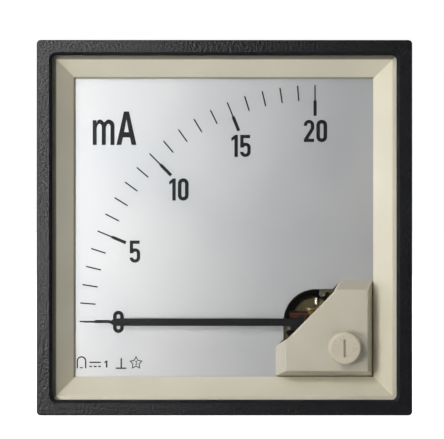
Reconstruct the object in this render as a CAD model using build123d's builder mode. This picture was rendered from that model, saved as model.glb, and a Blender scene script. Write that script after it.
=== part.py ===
from build123d import *
import os
from math import asin, atan2, cos, degrees, hypot, pi, radians, sin

os.makedirs("parts", exist_ok=True)

# A square moving-coil panel meter with a 90 degree scale, in millimetres.
# X is to the right, Z is up and Y is to the rear. The origin is the middle of the plane in
# which the bezel meets the panel, so the bezel lies in front of it and the case behind it.

# Clearances
fit_gap = 0.1  # round pieces that slip into each other without turning
run_gap = 0.05  # round a shaft that turns in a hole
thread_gap = 0.05  # between a screw and the hole that it is threaded into

# Bezel, panel and glass
bezel_size = 96.0
panel_overlap = 2.0  # of the bezel over the edge of the panel's cut-out
bezel_depth = 5.5
bezel_corner = 1.0
bezel_edge_round = 0.45
bezel_face = 3.2  # flat width of the front face
bezel_bevel = 0.7  # from the front face to the window, in plan
bezel_lip = 1.3  # thickness in front of the glass
window_corner = 1.2
tongue_cutout_gap = 0.15
tongue_reach = 6.0
tongue_width = 8.0
tongue_spread = 50.0
catch_width = 5.0
catch_length = 1.6
catch_height = 0.42
catch_lean = 0.38  # of its flanks
catch_start = 2.9
glass_t = 2.0
glass_corner = 0.8

# Rear case
case_cutout_gap = 0.75
case_depth = 50.0
case_wall = 1.4
case_floor = 2.4
case_corner = 3.0
case_edge_round = 1.5

# Mask and dial
mask_flange_t = 1.2
mask_wall = 1.0
mask_corner_cut = 1.2  # clears the round corners inside the case
mask_rim = 0.8  # flat rim that shows between bezel and slope
dial_y = 5.0  # its front face
dial_t = 0.8
dial_mask_gap = 0.4
dial_overlap = 2.1  # behind the mask, on each side
dial_cut_margin = 0.3  # round the chassis opening

# Pivot of the pointer, and the zero adjuster
pivot_from_side = 15.05  # of the mask's opening
pivot_from_foot = 14.5
adjuster_from_side = 8.5
adjuster_from_foot = 8.45
adjuster_r = 4.2
adjuster_head_t = 1.1
adjuster_shank_r = 3.4
adjuster_lip_r = 3.8
adjuster_lip_t = 0.35
adjuster_edge_round = 0.25
slot_width = 0.7
slot_length = 4.4
slot_depth = 0.6
slot_angle = 92.0
pin_r = 0.55
pin_eccentricity = 1.2
zero_turn = 50.0  # degrees each way

# Cover over the pivot
cover_mask_gap = 0.15  # to the mask's opening, on the right and below
cover_width = 25.55
cover_height = 25.3
cover_cut_right = 6.7  # the open diagonal ends this far right of the pivot
cover_cut_below = 6.75  # and starts this far below it
cover_bevel = 2.15  # in plan
cover_glass_gap = 0.3
cover_wall = 0.85
cover_edge_round = 0.35
cover_peg_r = 1.2
cover_peg_inset = 4.2
cover_peg_below_top = 5.5
cover_peg_above_foot = 3.4
cover_seat = 0.55  # width of the dial's edge under the foot of the cover

# Movement chassis
chassis_t = 2.0
chassis_side_gap = 1.25  # to the case
chassis_end_gap = 1.45
chassis_rim = 1.2  # outside the dial's edge
chassis_corner = 2.0
chassis_frame = 7.0
chassis_rib = 6.0
platform_r = 18.0
groove_lip_t = 0.7
groove_lip_overlap = 0.5
groove_end_gap = 2.2
seat_ring_t = 1.2
collar_wall = 1.9
boss_r = 3.2
boss_inset = 6.75
stop_r = 7.4
stop_pin_r = 0.35
stop_finger_t = 1.0
stop_finger_width = 1.6
stop_gap = 0.03
swing_low = -2.0  # degrees, the pointer's travel between its stops
swing_high = 93.0

# Magnet system
core_r = 6.0
core_length = 10.0
magnet_gap = 2.2  # between core and yoke, where the coil turns
yoke_wall = 4.8
yoke_length = 11.0
core_chamfer = 0.2
spacer_half_angle = 15.0
pillar_r = 1.2
pillar_inset = 1.7  # from the yoke's bore
pillar_angle = 45.0
spigot_r = 0.8
spigot_length = 2.5

# Coil
coil_side_gap = 0.6  # between core and former
coil_inner_gap = 0.5  # between core and former, along the axis
former_t = 0.2
former_rim = 0.9
former_rim_t = 0.3
former_width = 5.0
winding_t = 0.8
winding_corner = 0.6

# Spindles, jewel screws and hairsprings
spindle_r = 0.5
spindle_foot_r = 2.0
spindle_foot_t = 0.4
collet_r = 1.0
tip_length = 0.4
tip_gap = 0.1  # to the bottom of the jewel
tip_r = 0.06
jewel_depth = 0.4
jewel_mouth_r = 0.75
jewel_bottom_r = 0.15
jewel_screw_r = 1.25
jewel_slot = 0.35
jewel_slot_depth = 0.7
jewel_end = 0.15  # stands out of its lock nut
jewel_nose = 0.4  # stands out of its bridge
lock_nut_flats = 4.0
lock_nut_t = 0.65
lock_nut_gap = 0.35  # under the cover's ceiling
bridge_t = 0.7
bridge_width = 3.2
bridge_overhang = 1.2
bridge_screw_r = 0.5
bridge_screw_head_r = 1.1
bridge_screw_head_t = 0.7
bridge_screw_length = 3.0
lever_t = 0.4
lever_gap = 0.05
lever_ring_r = 2.6
lever_fork_width = 3.4
spring_arm_angle = 122.0
spring_arm_width = 1.2
spring_tab_t = 0.4
spring_tab_gap = 0.08
spring_width = 0.5  # along the axis
spring_strip = 0.18
spring_inner_r = 1.15
spring_outer_r = 4.2
spring_half_turns = 7
spring_to_screw = 0.2
rear_spring_gap = 1.6  # from the spindle's foot
rear_arm_tail = 8.0

# Pointer and balance
hub_r = 1.0
hub_flange_r = 1.6
hub_flange_t = 0.8
spring_to_pointer = 0.5
pointer_t = 0.2
pointer_width = 1.95
pointer_root_width = 3.2
pointer_root_end = 4.5
pointer_root_taper = 2.0
pointer_ring_r = 2.2
pointer_lance = 8.0
pointer_taper = 1.4
pointer_tip_width = 0.4
pointer_mask_gap = 2.55  # from its tip to the mask
cross_t = 0.3
cross_arm_width = 0.6
cross_ring_r = 2.0
side_arm = 6.4
tail_arm = 10.4
side_weight_r = 0.7
side_weight_length = 1.6
tail_weight_r = 1.4
tail_weight_at = 7.8
aluminium_density = 2.7
brass_density = 8.5

# Terminals at the rear
terminal_spread = 32.0
terminal_z = -22.0
stud_r = 2.0
stud_tip_y = 65.0
stud_head_length = 2.0
stud_tip_chamfer = 0.5
stud_groove_r = 1.7
stud_groove_t = 0.6  # behind the second nut
pad_r = 6.0
pad_height = 1.0
nut_flats = 7.0
nut_t = 3.2
washer_r = 4.5
washer_t = 0.8
tag_t = 0.8
tag_ring_r = 3.6
tag_tail = 8.0
tag_width = 3.0
barrier_t = 1.6
barrier_height = 6.0
barrier_length = 15.0
case_screw_r = 1.3
case_screw_head_r = 2.7
case_screw_head_t = 1.9
case_screw_length = 10.0
counterbore_depth = 1.2

# Resistor board and wires
board_case_gap = 4.85
board_z = 10.0
board_width = 38.0
board_height = 26.0
board_t = 1.2
post_r = 2.2
post_length = 4.2
post_pin_r = 1.1
post_pin_length = 2.0
post_spread = 33.6
swamp_r = 2.6
swamp_length = 13.0
swamp_z = 14.0
trim_r = 1.5
trim_length = 8.0
trim_z = 5.0
lead_r = 0.35
lead_reach = 2.5
lead_lift = 0.4
wire_r = 0.5
wire_bend = 1.5
wire_drop = 10.8  # in front of the terminal tags
yoke_wire_rise = 7.0  # behind the yoke
board_wire_right = 12.5
board_wire_below = 5.0

# Panel clamps, one on each side
clamp_plate_t = 1.0
clamp_width = 12.0
clamp_front_y = 14.0
clamp_rear_y = 36.0
clamp_lug_reach = 4.3
clamp_bend_r = 0.8
clamp_screw_r = 1.25
clamp_screw_out = 2.2  # from the bracket's plate
clamp_screw_rear_y = 52.0
clamp_bore_depth = 2.4
hook_width = 6.0
hook_t = 1.2
hook_leg = 2.6
hook_first_y = 17.5
hook_pitch = 11.0
slot_room = 0.5
foot_t = 3.6
foot_height = 9.0
foot_corner = 1.0
foot_front_y = 13.0
driver_slot = 0.8
driver_slot_depth = 1.0

# Sizes and places that follow from those above
panel_cutout = bezel_size - 2 * panel_overlap
case_size = panel_cutout - 2 * case_cutout_gap
case_half = case_size / 2
case_front_y = -(bezel_depth - bezel_lip - glass_t - mask_flange_t)
case_inner_half = case_half - case_wall
floor_y = case_depth - case_floor
yoke_inner_r = core_r + magnet_gap
yoke_outer_r = yoke_inner_r + yoke_wall
pillar_at = yoke_inner_r + pillar_inset
coil_inner_half = core_r + coil_side_gap
chassis_opening_r = yoke_inner_r + fit_gap
dial_cut_r = chassis_opening_r + dial_cut_margin
boss_spread = case_size - 2 * boss_inset
chassis_width = 2 * (case_inner_half - chassis_side_gap)
chassis_height = 2 * (case_inner_half - chassis_end_gap)
dial_width = chassis_width - 2 * chassis_rim
dial_height = chassis_height - 2 * chassis_rim
mask_opening = dial_width - 2 * dial_overlap
mask_rear_y = dial_y - dial_mask_gap
groove_length = dial_height - 2 * groove_end_gap
board_x = board_case_gap + board_width / 2 - case_inner_half
pocket_half = case_half + fit_gap
window_half = bezel_size / 2 - bezel_face - bezel_bevel
tongue_t = panel_cutout / 2 - tongue_cutout_gap - pocket_half
glass_half = pocket_half - fit_gap
glass_front_y = -(bezel_depth - bezel_lip)
glass_rear_y = glass_front_y + glass_t
mask_depth = mask_rear_y - glass_rear_y
mask_slope = degrees(atan2(window_half - mask_rim - mask_opening / 2, mask_depth))
mask_outer_half = mask_opening / 2 + mask_wall / cos(radians(mask_slope))
dial_rear_y = dial_y + dial_t
plate_rear_y = dial_rear_y + chassis_t
yoke_y = plate_rear_y + seat_ring_t
yoke_rear_y = yoke_y + yoke_length
core_y = yoke_y + (yoke_length - core_length) / 2
core_rear_y = core_y + core_length
pivot_x = mask_opening / 2 - pivot_from_side
pivot_z = pivot_from_foot - mask_opening / 2
adjuster_x = mask_opening / 2 - adjuster_from_side
adjuster_z = adjuster_from_foot - mask_opening / 2
pointer_length = pivot_x + mask_opening / 2 - pointer_mask_gap
pointer_bar_end = pointer_length - pointer_lance
adjuster_distance = hypot(adjuster_x - pivot_x, adjuster_z - pivot_z)
adjuster_angle = degrees(atan2(adjuster_z - pivot_z, adjuster_x - pivot_x))
cover_right = mask_opening / 2 - cover_mask_gap
cover_left = cover_right - cover_width
cover_bottom = cover_mask_gap - mask_opening / 2
cover_top = cover_bottom + cover_height
cover_cut_x = pivot_x + cover_cut_right
cover_cut_z = pivot_z - cover_cut_below
cover_front_y = glass_rear_y + cover_glass_gap
cover_ceiling_y = cover_front_y + cover_wall

# Along the pivot axis, from the lock nut under the cover to the pointer
lock_nut_y = cover_ceiling_y + lock_nut_gap
lever_y = lock_nut_y + lock_nut_t + lever_gap
bridge_y = lever_y + lever_t + lever_gap
bridge_rear_y = bridge_y + bridge_t
jewel_front_y = lock_nut_y - jewel_end
jewel_rear_y = bridge_rear_y + jewel_nose
spring_y = jewel_rear_y + spring_to_screw
pointer_y = spring_y + spring_width + spring_to_pointer
cross_y = pointer_y + pointer_t
hub_y = cross_y + cross_t

# The coil, and the same stack behind it
coil_front_y = core_y - coil_inner_gap
coil_rear_y = core_rear_y + coil_inner_gap
winding_front_y = coil_front_y - former_t - winding_t
winding_rear_y = coil_rear_y + former_t + winding_t
rear_foot_y = winding_rear_y + spindle_foot_t
rear_spring_y = rear_foot_y + rear_spring_gap
rear_jewel_front_y = rear_spring_y + spring_width + spring_to_screw
rear_bridge_y = rear_jewel_front_y + jewel_nose
rear_bridge_back_y = rear_bridge_y + bridge_t
rear_arm_back_y = rear_bridge_back_y + lever_t
rear_nut_back_y = rear_arm_back_y + lock_nut_t


def facing(y, x=0.0, z=0.0, turn=0.0):
    """The plane across the meter at depth y as seen from the front, turned about (x, z)."""
    x_dir = (cos(radians(turn)), 0, sin(radians(turn)))
    return Plane(origin=(x, y, z), x_dir=x_dir, z_dir=(0, -1, 0))


def at_pivot(y, turn=0.0):
    """The same plane with its origin on the pointer's axis."""
    return facing(y, pivot_x, pivot_z, turn)


# Bezel: a square frame with a bevelled window, a pocket for glass, mask and case rim, and
# tongues that snap over catches on the case
with BuildPart() as bezel:
    with BuildSketch(facing(0)):
        RectangleRounded(bezel_size, bezel_size, bezel_corner)
        RectangleRounded(2 * window_half, 2 * window_half, window_corner, mode=Mode.SUBTRACT)
    extrude(amount=bezel_depth)
    front = bezel.faces().sort_by(Axis.Y)[0]
    fillet(front.outer_wire().edges(), bezel_edge_round)
    front = bezel.faces().sort_by(Axis.Y)[0]
    chamfer(front.inner_wires().edges(), bezel_bevel)
    with BuildSketch(facing(0)):
        RectangleRounded(2 * pocket_half, 2 * pocket_half, glass_corner)
    extrude(amount=bezel_depth - bezel_lip, mode=Mode.SUBTRACT)
    with BuildSketch(facing(tongue_reach)):
        with PolarLocations(pocket_half + tongue_t / 2, 4):
            with GridLocations(0, tongue_spread, 1, 2):
                Rectangle(tongue_t, tongue_width)
    extrude(amount=tongue_reach)
    with BuildSketch(facing(catch_start + catch_length + fit_gap)):
        with PolarLocations(pocket_half + tongue_t / 2, 4):
            with GridLocations(0, tongue_spread, 1, 2):
                Rectangle(2 * tongue_t, catch_width + 2 * fit_gap)
    extrude(amount=catch_length + 2 * fit_gap, mode=Mode.SUBTRACT)
bezel.part.label = "bezel"
export_step(bezel.part, "parts/bezel.step")

# Window glass, with the hole that the zero adjuster turns in
with BuildPart() as window_glass:
    with BuildSketch(facing(glass_rear_y)):
        RectangleRounded(2 * glass_half, 2 * glass_half, glass_corner)
        with Locations((adjuster_x, adjuster_z)):
            Circle(adjuster_shank_r + run_gap, mode=Mode.SUBTRACT)
    extrude(amount=glass_t)
window_glass.part.label = "window_glass"
export_step(window_glass.part, "parts/window_glass.step")

# Mask: a flange clamped between glass and case rim, and a mitred slope down to the dial
with BuildPart() as mask_frame:
    with BuildSketch(facing(mask_rear_y)):
        Rectangle(2 * mask_outer_half, 2 * mask_outer_half)
    extrude(amount=mask_depth, taper=-mask_slope)
    mitres = mask_frame.edges().group_by(Axis.Y)[1]
    chamfer(mitres, mask_corner_cut)
    with BuildSketch(facing(case_front_y)):
        RectangleRounded(2 * glass_half, 2 * glass_half, glass_corner)
    extrude(amount=mask_flange_t)
    with BuildSketch(facing(mask_rear_y)):
        Rectangle(mask_opening, mask_opening)
    extrude(amount=mask_depth, taper=-mask_slope, mode=Mode.SUBTRACT)
mask_frame.part.label = "mask_frame"
export_step(mask_frame.part, "parts/mask_frame.step")

# Dial plate: its lower right corner is cut away round the pivot and under the cover
cut_side = abs(cover_cut_z - pivot_z) - abs(cover_left - (pivot_x - dial_cut_r))
cut_top = abs(cover_cut_x - pivot_x) - abs(cover_top - (pivot_z + dial_cut_r))
with BuildPart() as dial_plate:
    with BuildSketch(facing(dial_rear_y)):
        Rectangle(dial_width, dial_height)
        with BuildLine():
            arc = CenterArc((pivot_x, pivot_z), dial_cut_r, 90, 90)
            Polyline(
                arc @ 1,
                (pivot_x - dial_cut_r, pivot_z - cut_side),
                (cover_left, cover_cut_z),
                (cover_left + cover_seat, cover_cut_z - cover_seat),
                (cover_left + cover_seat, -dial_height),
                (dial_width, -dial_height),
                (dial_width, cover_top - cover_seat),
                (cover_cut_x + cover_seat, cover_top - cover_seat),
                (cover_cut_x, cover_top),
                (pivot_x + cut_top, pivot_z + dial_cut_r),
                arc @ 0,
            )
        make_face(mode=Mode.SUBTRACT)
    extrude(amount=dial_t)
dial_plate.part.label = "dial_plate"
export_step(dial_plate.part, "parts/dial_plate.step")

# Pivot cover: a bevelled hood, hollow and open along its diagonal side, on three pegs
cover_mid = ((cover_left + cover_right) / 2, (cover_bottom + cover_top) / 2)
cover_depth = dial_y - cover_front_y
cover_slope = degrees(atan2(cover_bevel, cover_depth))
peg_points = [
    (cover_right - cover_peg_inset, cover_bottom + cover_peg_inset),
    (cover_right - cover_peg_inset, cover_top - cover_peg_below_top),
    (cover_left + cover_peg_inset, cover_bottom + cover_peg_above_foot),
]
with BuildPart() as pivot_cover:
    with BuildSketch(facing(dial_y)):
        with Locations(cover_mid):
            Rectangle(cover_width, cover_height)
    extrude(amount=cover_depth, taper=cover_slope)
    with BuildSketch(facing(dial_y)):
        with Locations(cover_mid):
            Rectangle(cover_width - 2 * cover_wall, cover_height - 2 * cover_wall)
    extrude(amount=cover_depth - cover_wall, taper=cover_slope, mode=Mode.SUBTRACT)
    with BuildSketch(facing(plate_rear_y - fit_gap)):
        with Locations(*peg_points):
            Circle(cover_peg_r)
    extrude(until=Until.NEXT)
    with BuildSketch(facing(dial_y)):
        with BuildLine():
            Polyline(
                (cover_left - cover_bevel, cover_cut_z - cover_bevel),
                (cover_cut_x + cover_bevel, cover_top + cover_bevel),
                (cover_left - cover_bevel, cover_top + cover_bevel),
                close=True,
            )
        make_face()
    extrude(amount=cover_depth, mode=Mode.SUBTRACT)
    fillet(pivot_cover.faces().sort_by(Axis.Y)[0].edges(), cover_edge_round)
    with BuildSketch(facing(cover_ceiling_y, adjuster_x, adjuster_z)):
        Circle(adjuster_lip_r + fit_gap)
    extrude(amount=cover_wall, mode=Mode.SUBTRACT)
pivot_cover.part.label = "pivot_cover"
export_step(pivot_cover.part, "parts/pivot_cover.step")

# Zero adjuster: a slotted head in front of the glass, a shank through it, a lip that keeps
# it in, and an eccentric pin that reaches through the cover into the lever's fork
with BuildPart() as zero_adjuster:
    with BuildSketch(facing(glass_front_y - fit_gap, adjuster_x, adjuster_z)):
        Circle(adjuster_r)
    extrude(amount=adjuster_head_t)
    fillet(zero_adjuster.faces().sort_by(Axis.Y)[0].edges(), adjuster_edge_round)
    with BuildSketch(facing(glass_rear_y + fit_gap, adjuster_x, adjuster_z)):
        Circle(adjuster_shank_r)
    extrude(amount=glass_t + 2 * fit_gap)
    with BuildSketch(facing(glass_rear_y + fit_gap + adjuster_lip_t, adjuster_x, adjuster_z)):
        Circle(adjuster_lip_r)
    extrude(amount=adjuster_lip_t)
    pin_end_y = lever_y + lever_t
    with BuildSketch(facing(pin_end_y, adjuster_x, adjuster_z, adjuster_angle)):
        with Locations((pin_eccentricity, 0)):
            Circle(pin_r)
    extrude(amount=pin_end_y - glass_rear_y - fit_gap)
    head_y = glass_front_y - fit_gap - adjuster_head_t
    with BuildSketch(facing(head_y, adjuster_x, adjuster_z, slot_angle)):
        Rectangle(slot_length, slot_width)
    extrude(amount=-slot_depth, mode=Mode.SUBTRACT)
zero_adjuster.part.label = "zero_adjuster"
export_step(zero_adjuster.part, "parts/zero_adjuster.step")

# Rear case: a tub with terminal pads, barriers, screw recesses, catches and clamp slots
terminal_points = [(-terminal_spread / 2, terminal_z), (terminal_spread / 2, terminal_z)]
hook_ys = [hook_first_y, hook_first_y + hook_pitch]
with BuildPart() as rear_case:
    with BuildSketch(facing(case_depth)):
        RectangleRounded(case_size, case_size, case_corner)
    extrude(amount=case_depth - case_front_y)
    fillet(rear_case.faces().sort_by(Axis.Y)[-1].edges(), case_edge_round)
    with BuildSketch(facing(floor_y)):
        RectangleRounded(2 * case_inner_half, 2 * case_inner_half, case_corner - case_wall)
    extrude(amount=floor_y - case_front_y, mode=Mode.SUBTRACT)
    with BuildSketch(facing(catch_start + catch_length)):
        with PolarLocations(case_half, 4):
            with GridLocations(0, tongue_spread, 1, 2):
                Rectangle(2 * catch_height, catch_width)
    extrude(amount=catch_length, taper=degrees(atan2(catch_lean, catch_length)))
    with BuildSketch(facing(case_depth + pad_height)):
        with Locations(*terminal_points):
            Circle(pad_r)
    extrude(amount=pad_height)
    with BuildSketch(facing(case_depth + barrier_height)):
        with Locations((0, terminal_z)):
            with GridLocations(terminal_spread, 0, 3, 1):
                Rectangle(barrier_t, barrier_length)
    extrude(amount=barrier_height)
    with BuildSketch(facing(case_depth + pad_height)):
        with Locations(*terminal_points):
            Circle(stud_r + fit_gap)
        with GridLocations(boss_spread, boss_spread, 2, 2):
            Circle(case_screw_r + fit_gap)
    extrude(amount=pad_height + case_floor, mode=Mode.SUBTRACT)
    with BuildSketch(facing(case_depth)):
        with GridLocations(boss_spread, boss_spread, 2, 2):
            Circle(case_screw_head_r + 2 * fit_gap)
    extrude(amount=counterbore_depth, mode=Mode.SUBTRACT)
    for y in hook_ys:
        with Locations((0, y + (hook_t + hook_leg) / 2, 0)):
            Box(2 * case_size, hook_t + hook_leg + 2 * slot_room, hook_width + 2 * slot_room,
                mode=Mode.SUBTRACT)
rear_case.part.label = "rear_case"
export_step(rear_case.part, "parts/rear_case.step")

# Movement chassis: a frame behind the dial with grooves for its edges, a platform that
# seats the yoke, fingers for the pointer stops, posts for the board and four long bosses
groove_x = dial_width / 2 + fit_gap
frame_half_x = chassis_width / 2
frame_half_z = chassis_height / 2
lip_x = dial_width / 2 - groove_lip_overlap
lip_y = dial_y - groove_lip_t
collar_r = yoke_outer_r + fit_gap + collar_wall
pillar_places = [(pillar_at, pillar_angle), (pillar_at, pillar_angle + 180)]
pillar_points = [
    (r * cos(radians(a)), r * sin(radians(a))) for r, a in pillar_places
]
stop_offset = degrees(asin((pointer_width / 2 + stop_pin_r + stop_gap) / stop_r))
stop_angles = [180 - swing_low + stop_offset, 180 - swing_high - stop_offset]
post_points = [(board_x - post_spread / 2, board_z), (board_x + post_spread / 2, board_z)]
with BuildPart() as movement_chassis:
    with BuildSketch(facing(plate_rear_y)):
        RectangleRounded(chassis_width, chassis_height, chassis_corner)
        Rectangle(chassis_width - 2 * chassis_frame, chassis_height - 2 * chassis_frame,
                  mode=Mode.SUBTRACT)
        with Locations((board_x + post_spread / 2, 0)):
            Rectangle(chassis_rib, chassis_height - chassis_frame)
        with Locations((pivot_x, pivot_z)):
            Circle(platform_r)
        with Locations((pivot_x, -frame_half_z)):
            Rectangle(2 * (frame_half_x - pivot_x), frame_half_z + pivot_z,
                      align=(Align.CENTER, Align.MIN))
        with Locations((frame_half_x, pivot_z)):
            Rectangle(frame_half_x - pivot_x, 2 * platform_r, align=(Align.MAX, Align.CENTER))
        RectangleRounded(chassis_width, chassis_height, chassis_corner, mode=Mode.INTERSECT)
    extrude(amount=chassis_t)
    with BuildSketch(facing(dial_rear_y)):
        with PolarLocations((groove_x + frame_half_x) / 2, 2):
            Rectangle(frame_half_x - groove_x, groove_length)
        with Locations((0, -frame_half_z)):
            Rectangle(groove_length, frame_half_z - dial_height / 2 - fit_gap,
                      align=(Align.CENTER, Align.MIN))
    extrude(amount=dial_rear_y - lip_y)
    with BuildSketch(facing(dial_y)):
        with PolarLocations((lip_x + frame_half_x) / 2, 2):
            Rectangle(frame_half_x - lip_x, groove_length)
    extrude(amount=groove_lip_t)
    with BuildSketch(at_pivot(yoke_rear_y)):
        Circle(collar_r)
    extrude(amount=yoke_rear_y - plate_rear_y)
    with BuildSketch(facing(floor_y)):
        with GridLocations(boss_spread, boss_spread, 2, 2):
            Circle(boss_r)
    extrude(amount=floor_y - plate_rear_y)
    with BuildSketch(facing(plate_rear_y + post_length)):
        with Locations(*post_points):
            Circle(post_r)
    extrude(amount=post_length)
    with BuildSketch(facing(plate_rear_y + post_length + post_pin_length)):
        with Locations(*post_points):
            Circle(post_pin_r)
    extrude(amount=post_pin_length)
    with BuildSketch(at_pivot(yoke_rear_y)):
        Circle(yoke_outer_r + fit_gap)
    extrude(amount=yoke_length, mode=Mode.SUBTRACT)
    with BuildSketch(at_pivot(yoke_y)):
        Circle(chassis_opening_r)
        with Locations(*pillar_points):
            Circle(pillar_r + fit_gap)
    extrude(amount=yoke_y - dial_rear_y, mode=Mode.SUBTRACT)
    for angle in stop_angles:
        with BuildSketch(at_pivot(dial_rear_y + stop_finger_t, angle)):
            with Locations((stop_r, 0)):
                Circle(stop_finger_width / 2)
            with Locations((stop_r, 0)):
                Rectangle(chassis_opening_r + stop_finger_width - stop_r, stop_finger_width,
                          align=(Align.MIN, Align.CENTER))
        extrude(amount=stop_finger_t)
        with BuildSketch(at_pivot(dial_rear_y + stop_finger_t, angle)):
            with Locations((stop_r, 0)):
                Circle(stop_pin_r)
        extrude(amount=stop_finger_t, mode=Mode.SUBTRACT)
    with BuildSketch(facing(floor_y)):
        with GridLocations(boss_spread, boss_spread, 2, 2):
            Circle(case_screw_r + thread_gap)
    extrude(amount=case_screw_length, mode=Mode.SUBTRACT)
    with BuildSketch(facing(plate_rear_y)):
        with Locations(*peg_points):
            Circle(cover_peg_r + fit_gap)
    extrude(amount=chassis_t, mode=Mode.SUBTRACT)
movement_chassis.part.label = "movement_chassis"
export_step(movement_chassis.part, "parts/movement_chassis.step")

# Pointer stops: two pins that stand on the fingers, one at each end of the travel
with BuildPart() as pointer_stops:
    for angle in stop_angles:
        with BuildSketch(at_pivot(dial_rear_y + stop_finger_t, angle)):
            with Locations((stop_r, 0)):
                Circle(stop_pin_r)
        extrude(amount=dial_rear_y + stop_finger_t - pointer_y + 2 * pointer_t)
pointer_stops.part.label = "pointer_stops"
export_step(pointer_stops.part, "parts/pointer_stops.step")

# Magnet system: a soft iron ring, a magnet core and two brass spacers between them
with BuildPart() as yoke_ring:
    with BuildSketch(at_pivot(yoke_rear_y)):
        Circle(yoke_outer_r)
        Circle(yoke_inner_r, mode=Mode.SUBTRACT)
    extrude(amount=yoke_length)
    for face_y, depth in ((yoke_y + spigot_length, spigot_length), (yoke_rear_y, spigot_length)):
        with BuildSketch(at_pivot(face_y)):
            with Locations(*pillar_points):
                Circle(spigot_r)
        extrude(amount=depth, mode=Mode.SUBTRACT)
yoke_ring.part.label = "yoke_ring"
export_step(yoke_ring.part, "parts/yoke_ring.step")

with BuildPart() as core_magnet:
    with BuildSketch(at_pivot(core_rear_y)):
        Circle(core_r)
    extrude(amount=core_length)
    chamfer(core_magnet.edges().filter_by(GeomType.CIRCLE), core_chamfer)
core_magnet.part.label = "core_magnet"
export_step(core_magnet.part, "parts/core_magnet.step")

with BuildPart() as core_spacers:
    with BuildSketch(at_pivot(core_rear_y - core_chamfer)):
        for _, angle in pillar_places:
            with BuildLine():
                outside = CenterArc((0, 0), yoke_inner_r, angle - spacer_half_angle,
                                    2 * spacer_half_angle)
                inside = CenterArc((0, 0), core_r, angle - spacer_half_angle,
                                   2 * spacer_half_angle)
                Line(outside @ 0, inside @ 0)
                Line(outside @ 1, inside @ 1)
            make_face()
    extrude(amount=core_length - 2 * core_chamfer)
core_spacers.part.label = "core_spacers"
export_step(core_spacers.part, "parts/core_spacers.step")


# Pillars stand on the yoke with spigots in it, and carry a bridge on screws at each end
bridge_length = 2 * (pillar_at + bridge_overhang)
with BuildPart() as front_pillars:
    with BuildSketch(at_pivot(yoke_y)):
        with Locations(*pillar_points):
            Circle(pillar_r)
    extrude(amount=yoke_y - bridge_rear_y)
    with BuildSketch(at_pivot(yoke_y + spigot_length)):
        with Locations(*pillar_points):
            Circle(spigot_r)
    extrude(amount=spigot_length)
    with BuildSketch(at_pivot(bridge_rear_y + bridge_screw_length)):
        with Locations(*pillar_points):
            Circle(bridge_screw_r)
    extrude(amount=bridge_screw_length, mode=Mode.SUBTRACT)
front_pillars.part.label = "front_pillars"
export_step(front_pillars.part, "parts/front_pillars.step")

with BuildPart() as rear_pillars:
    with BuildSketch(at_pivot(rear_bridge_y)):
        with Locations(*pillar_points):
            Circle(pillar_r)
    extrude(amount=rear_bridge_y - yoke_rear_y)
    with BuildSketch(at_pivot(yoke_rear_y)):
        with Locations(*pillar_points):
            Circle(spigot_r)
    extrude(amount=spigot_length)
    with BuildSketch(at_pivot(rear_bridge_y)):
        with Locations(*pillar_points):
            Circle(bridge_screw_r)
    extrude(amount=bridge_screw_length, mode=Mode.SUBTRACT)
rear_pillars.part.label = "rear_pillars"
export_step(rear_pillars.part, "parts/rear_pillars.step")

with BuildPart() as front_bridge:
    with BuildSketch(at_pivot(bridge_rear_y, pillar_angle)):
        SlotOverall(bridge_length, bridge_width)
        Circle(jewel_screw_r, mode=Mode.SUBTRACT)
        with GridLocations(2 * pillar_at, 0, 2, 1):
            Circle(bridge_screw_r + thread_gap, mode=Mode.SUBTRACT)
    extrude(amount=bridge_t)
front_bridge.part.label = "front_bridge"
export_step(front_bridge.part, "parts/front_bridge.step")

with BuildPart() as rear_bridge:
    with BuildSketch(at_pivot(rear_bridge_back_y, pillar_angle)):
        SlotOverall(bridge_length, bridge_width)
        Circle(jewel_screw_r, mode=Mode.SUBTRACT)
        with GridLocations(2 * pillar_at, 0, 2, 1):
            Circle(bridge_screw_r + thread_gap, mode=Mode.SUBTRACT)
    extrude(amount=bridge_t)
rear_bridge.part.label = "rear_bridge"
export_step(rear_bridge.part, "parts/rear_bridge.step")

with BuildPart() as bridge_screws:
    with BuildSketch(at_pivot(bridge_y)):
        with Locations(*pillar_points):
            Circle(bridge_screw_head_r)
    extrude(amount=bridge_screw_head_t)
    with BuildSketch(at_pivot(bridge_rear_y + bridge_screw_length - fit_gap)):
        with Locations(*pillar_points):
            Circle(bridge_screw_r)
    extrude(amount=bridge_t + bridge_screw_length - fit_gap)
    with BuildSketch(at_pivot(rear_bridge_back_y + bridge_screw_head_t)):
        with Locations(*pillar_points):
            Circle(bridge_screw_head_r)
    extrude(amount=bridge_screw_head_t)
    with BuildSketch(at_pivot(rear_bridge_back_y)):
        with Locations(*pillar_points):
            Circle(bridge_screw_r)
    extrude(amount=bridge_t + bridge_screw_length - fit_gap)
bridge_screws.part.label = "bridge_screws"
export_step(bridge_screws.part, "parts/bridge_screws.step")

# Jewel screws: each ends in a cone that a spindle's tip turns in, and has a lock nut
jewel_length = jewel_rear_y - jewel_front_y
with BuildPart() as front_jewel_screw:
    with BuildSketch(at_pivot(jewel_rear_y)):
        Circle(jewel_screw_r)
    extrude(amount=jewel_length)
    with BuildSketch(at_pivot(jewel_rear_y)):
        Circle(jewel_mouth_r)
    with BuildSketch(at_pivot(jewel_rear_y - jewel_depth)):
        Circle(jewel_bottom_r)
    loft(mode=Mode.SUBTRACT)
    with BuildSketch(at_pivot(jewel_front_y, pillar_angle)):
        Rectangle(2 * jewel_screw_r, jewel_slot)
    extrude(amount=-jewel_slot_depth, mode=Mode.SUBTRACT)
front_jewel_screw.part.label = "front_jewel_screw"
export_step(front_jewel_screw.part, "parts/front_jewel_screw.step")

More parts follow.
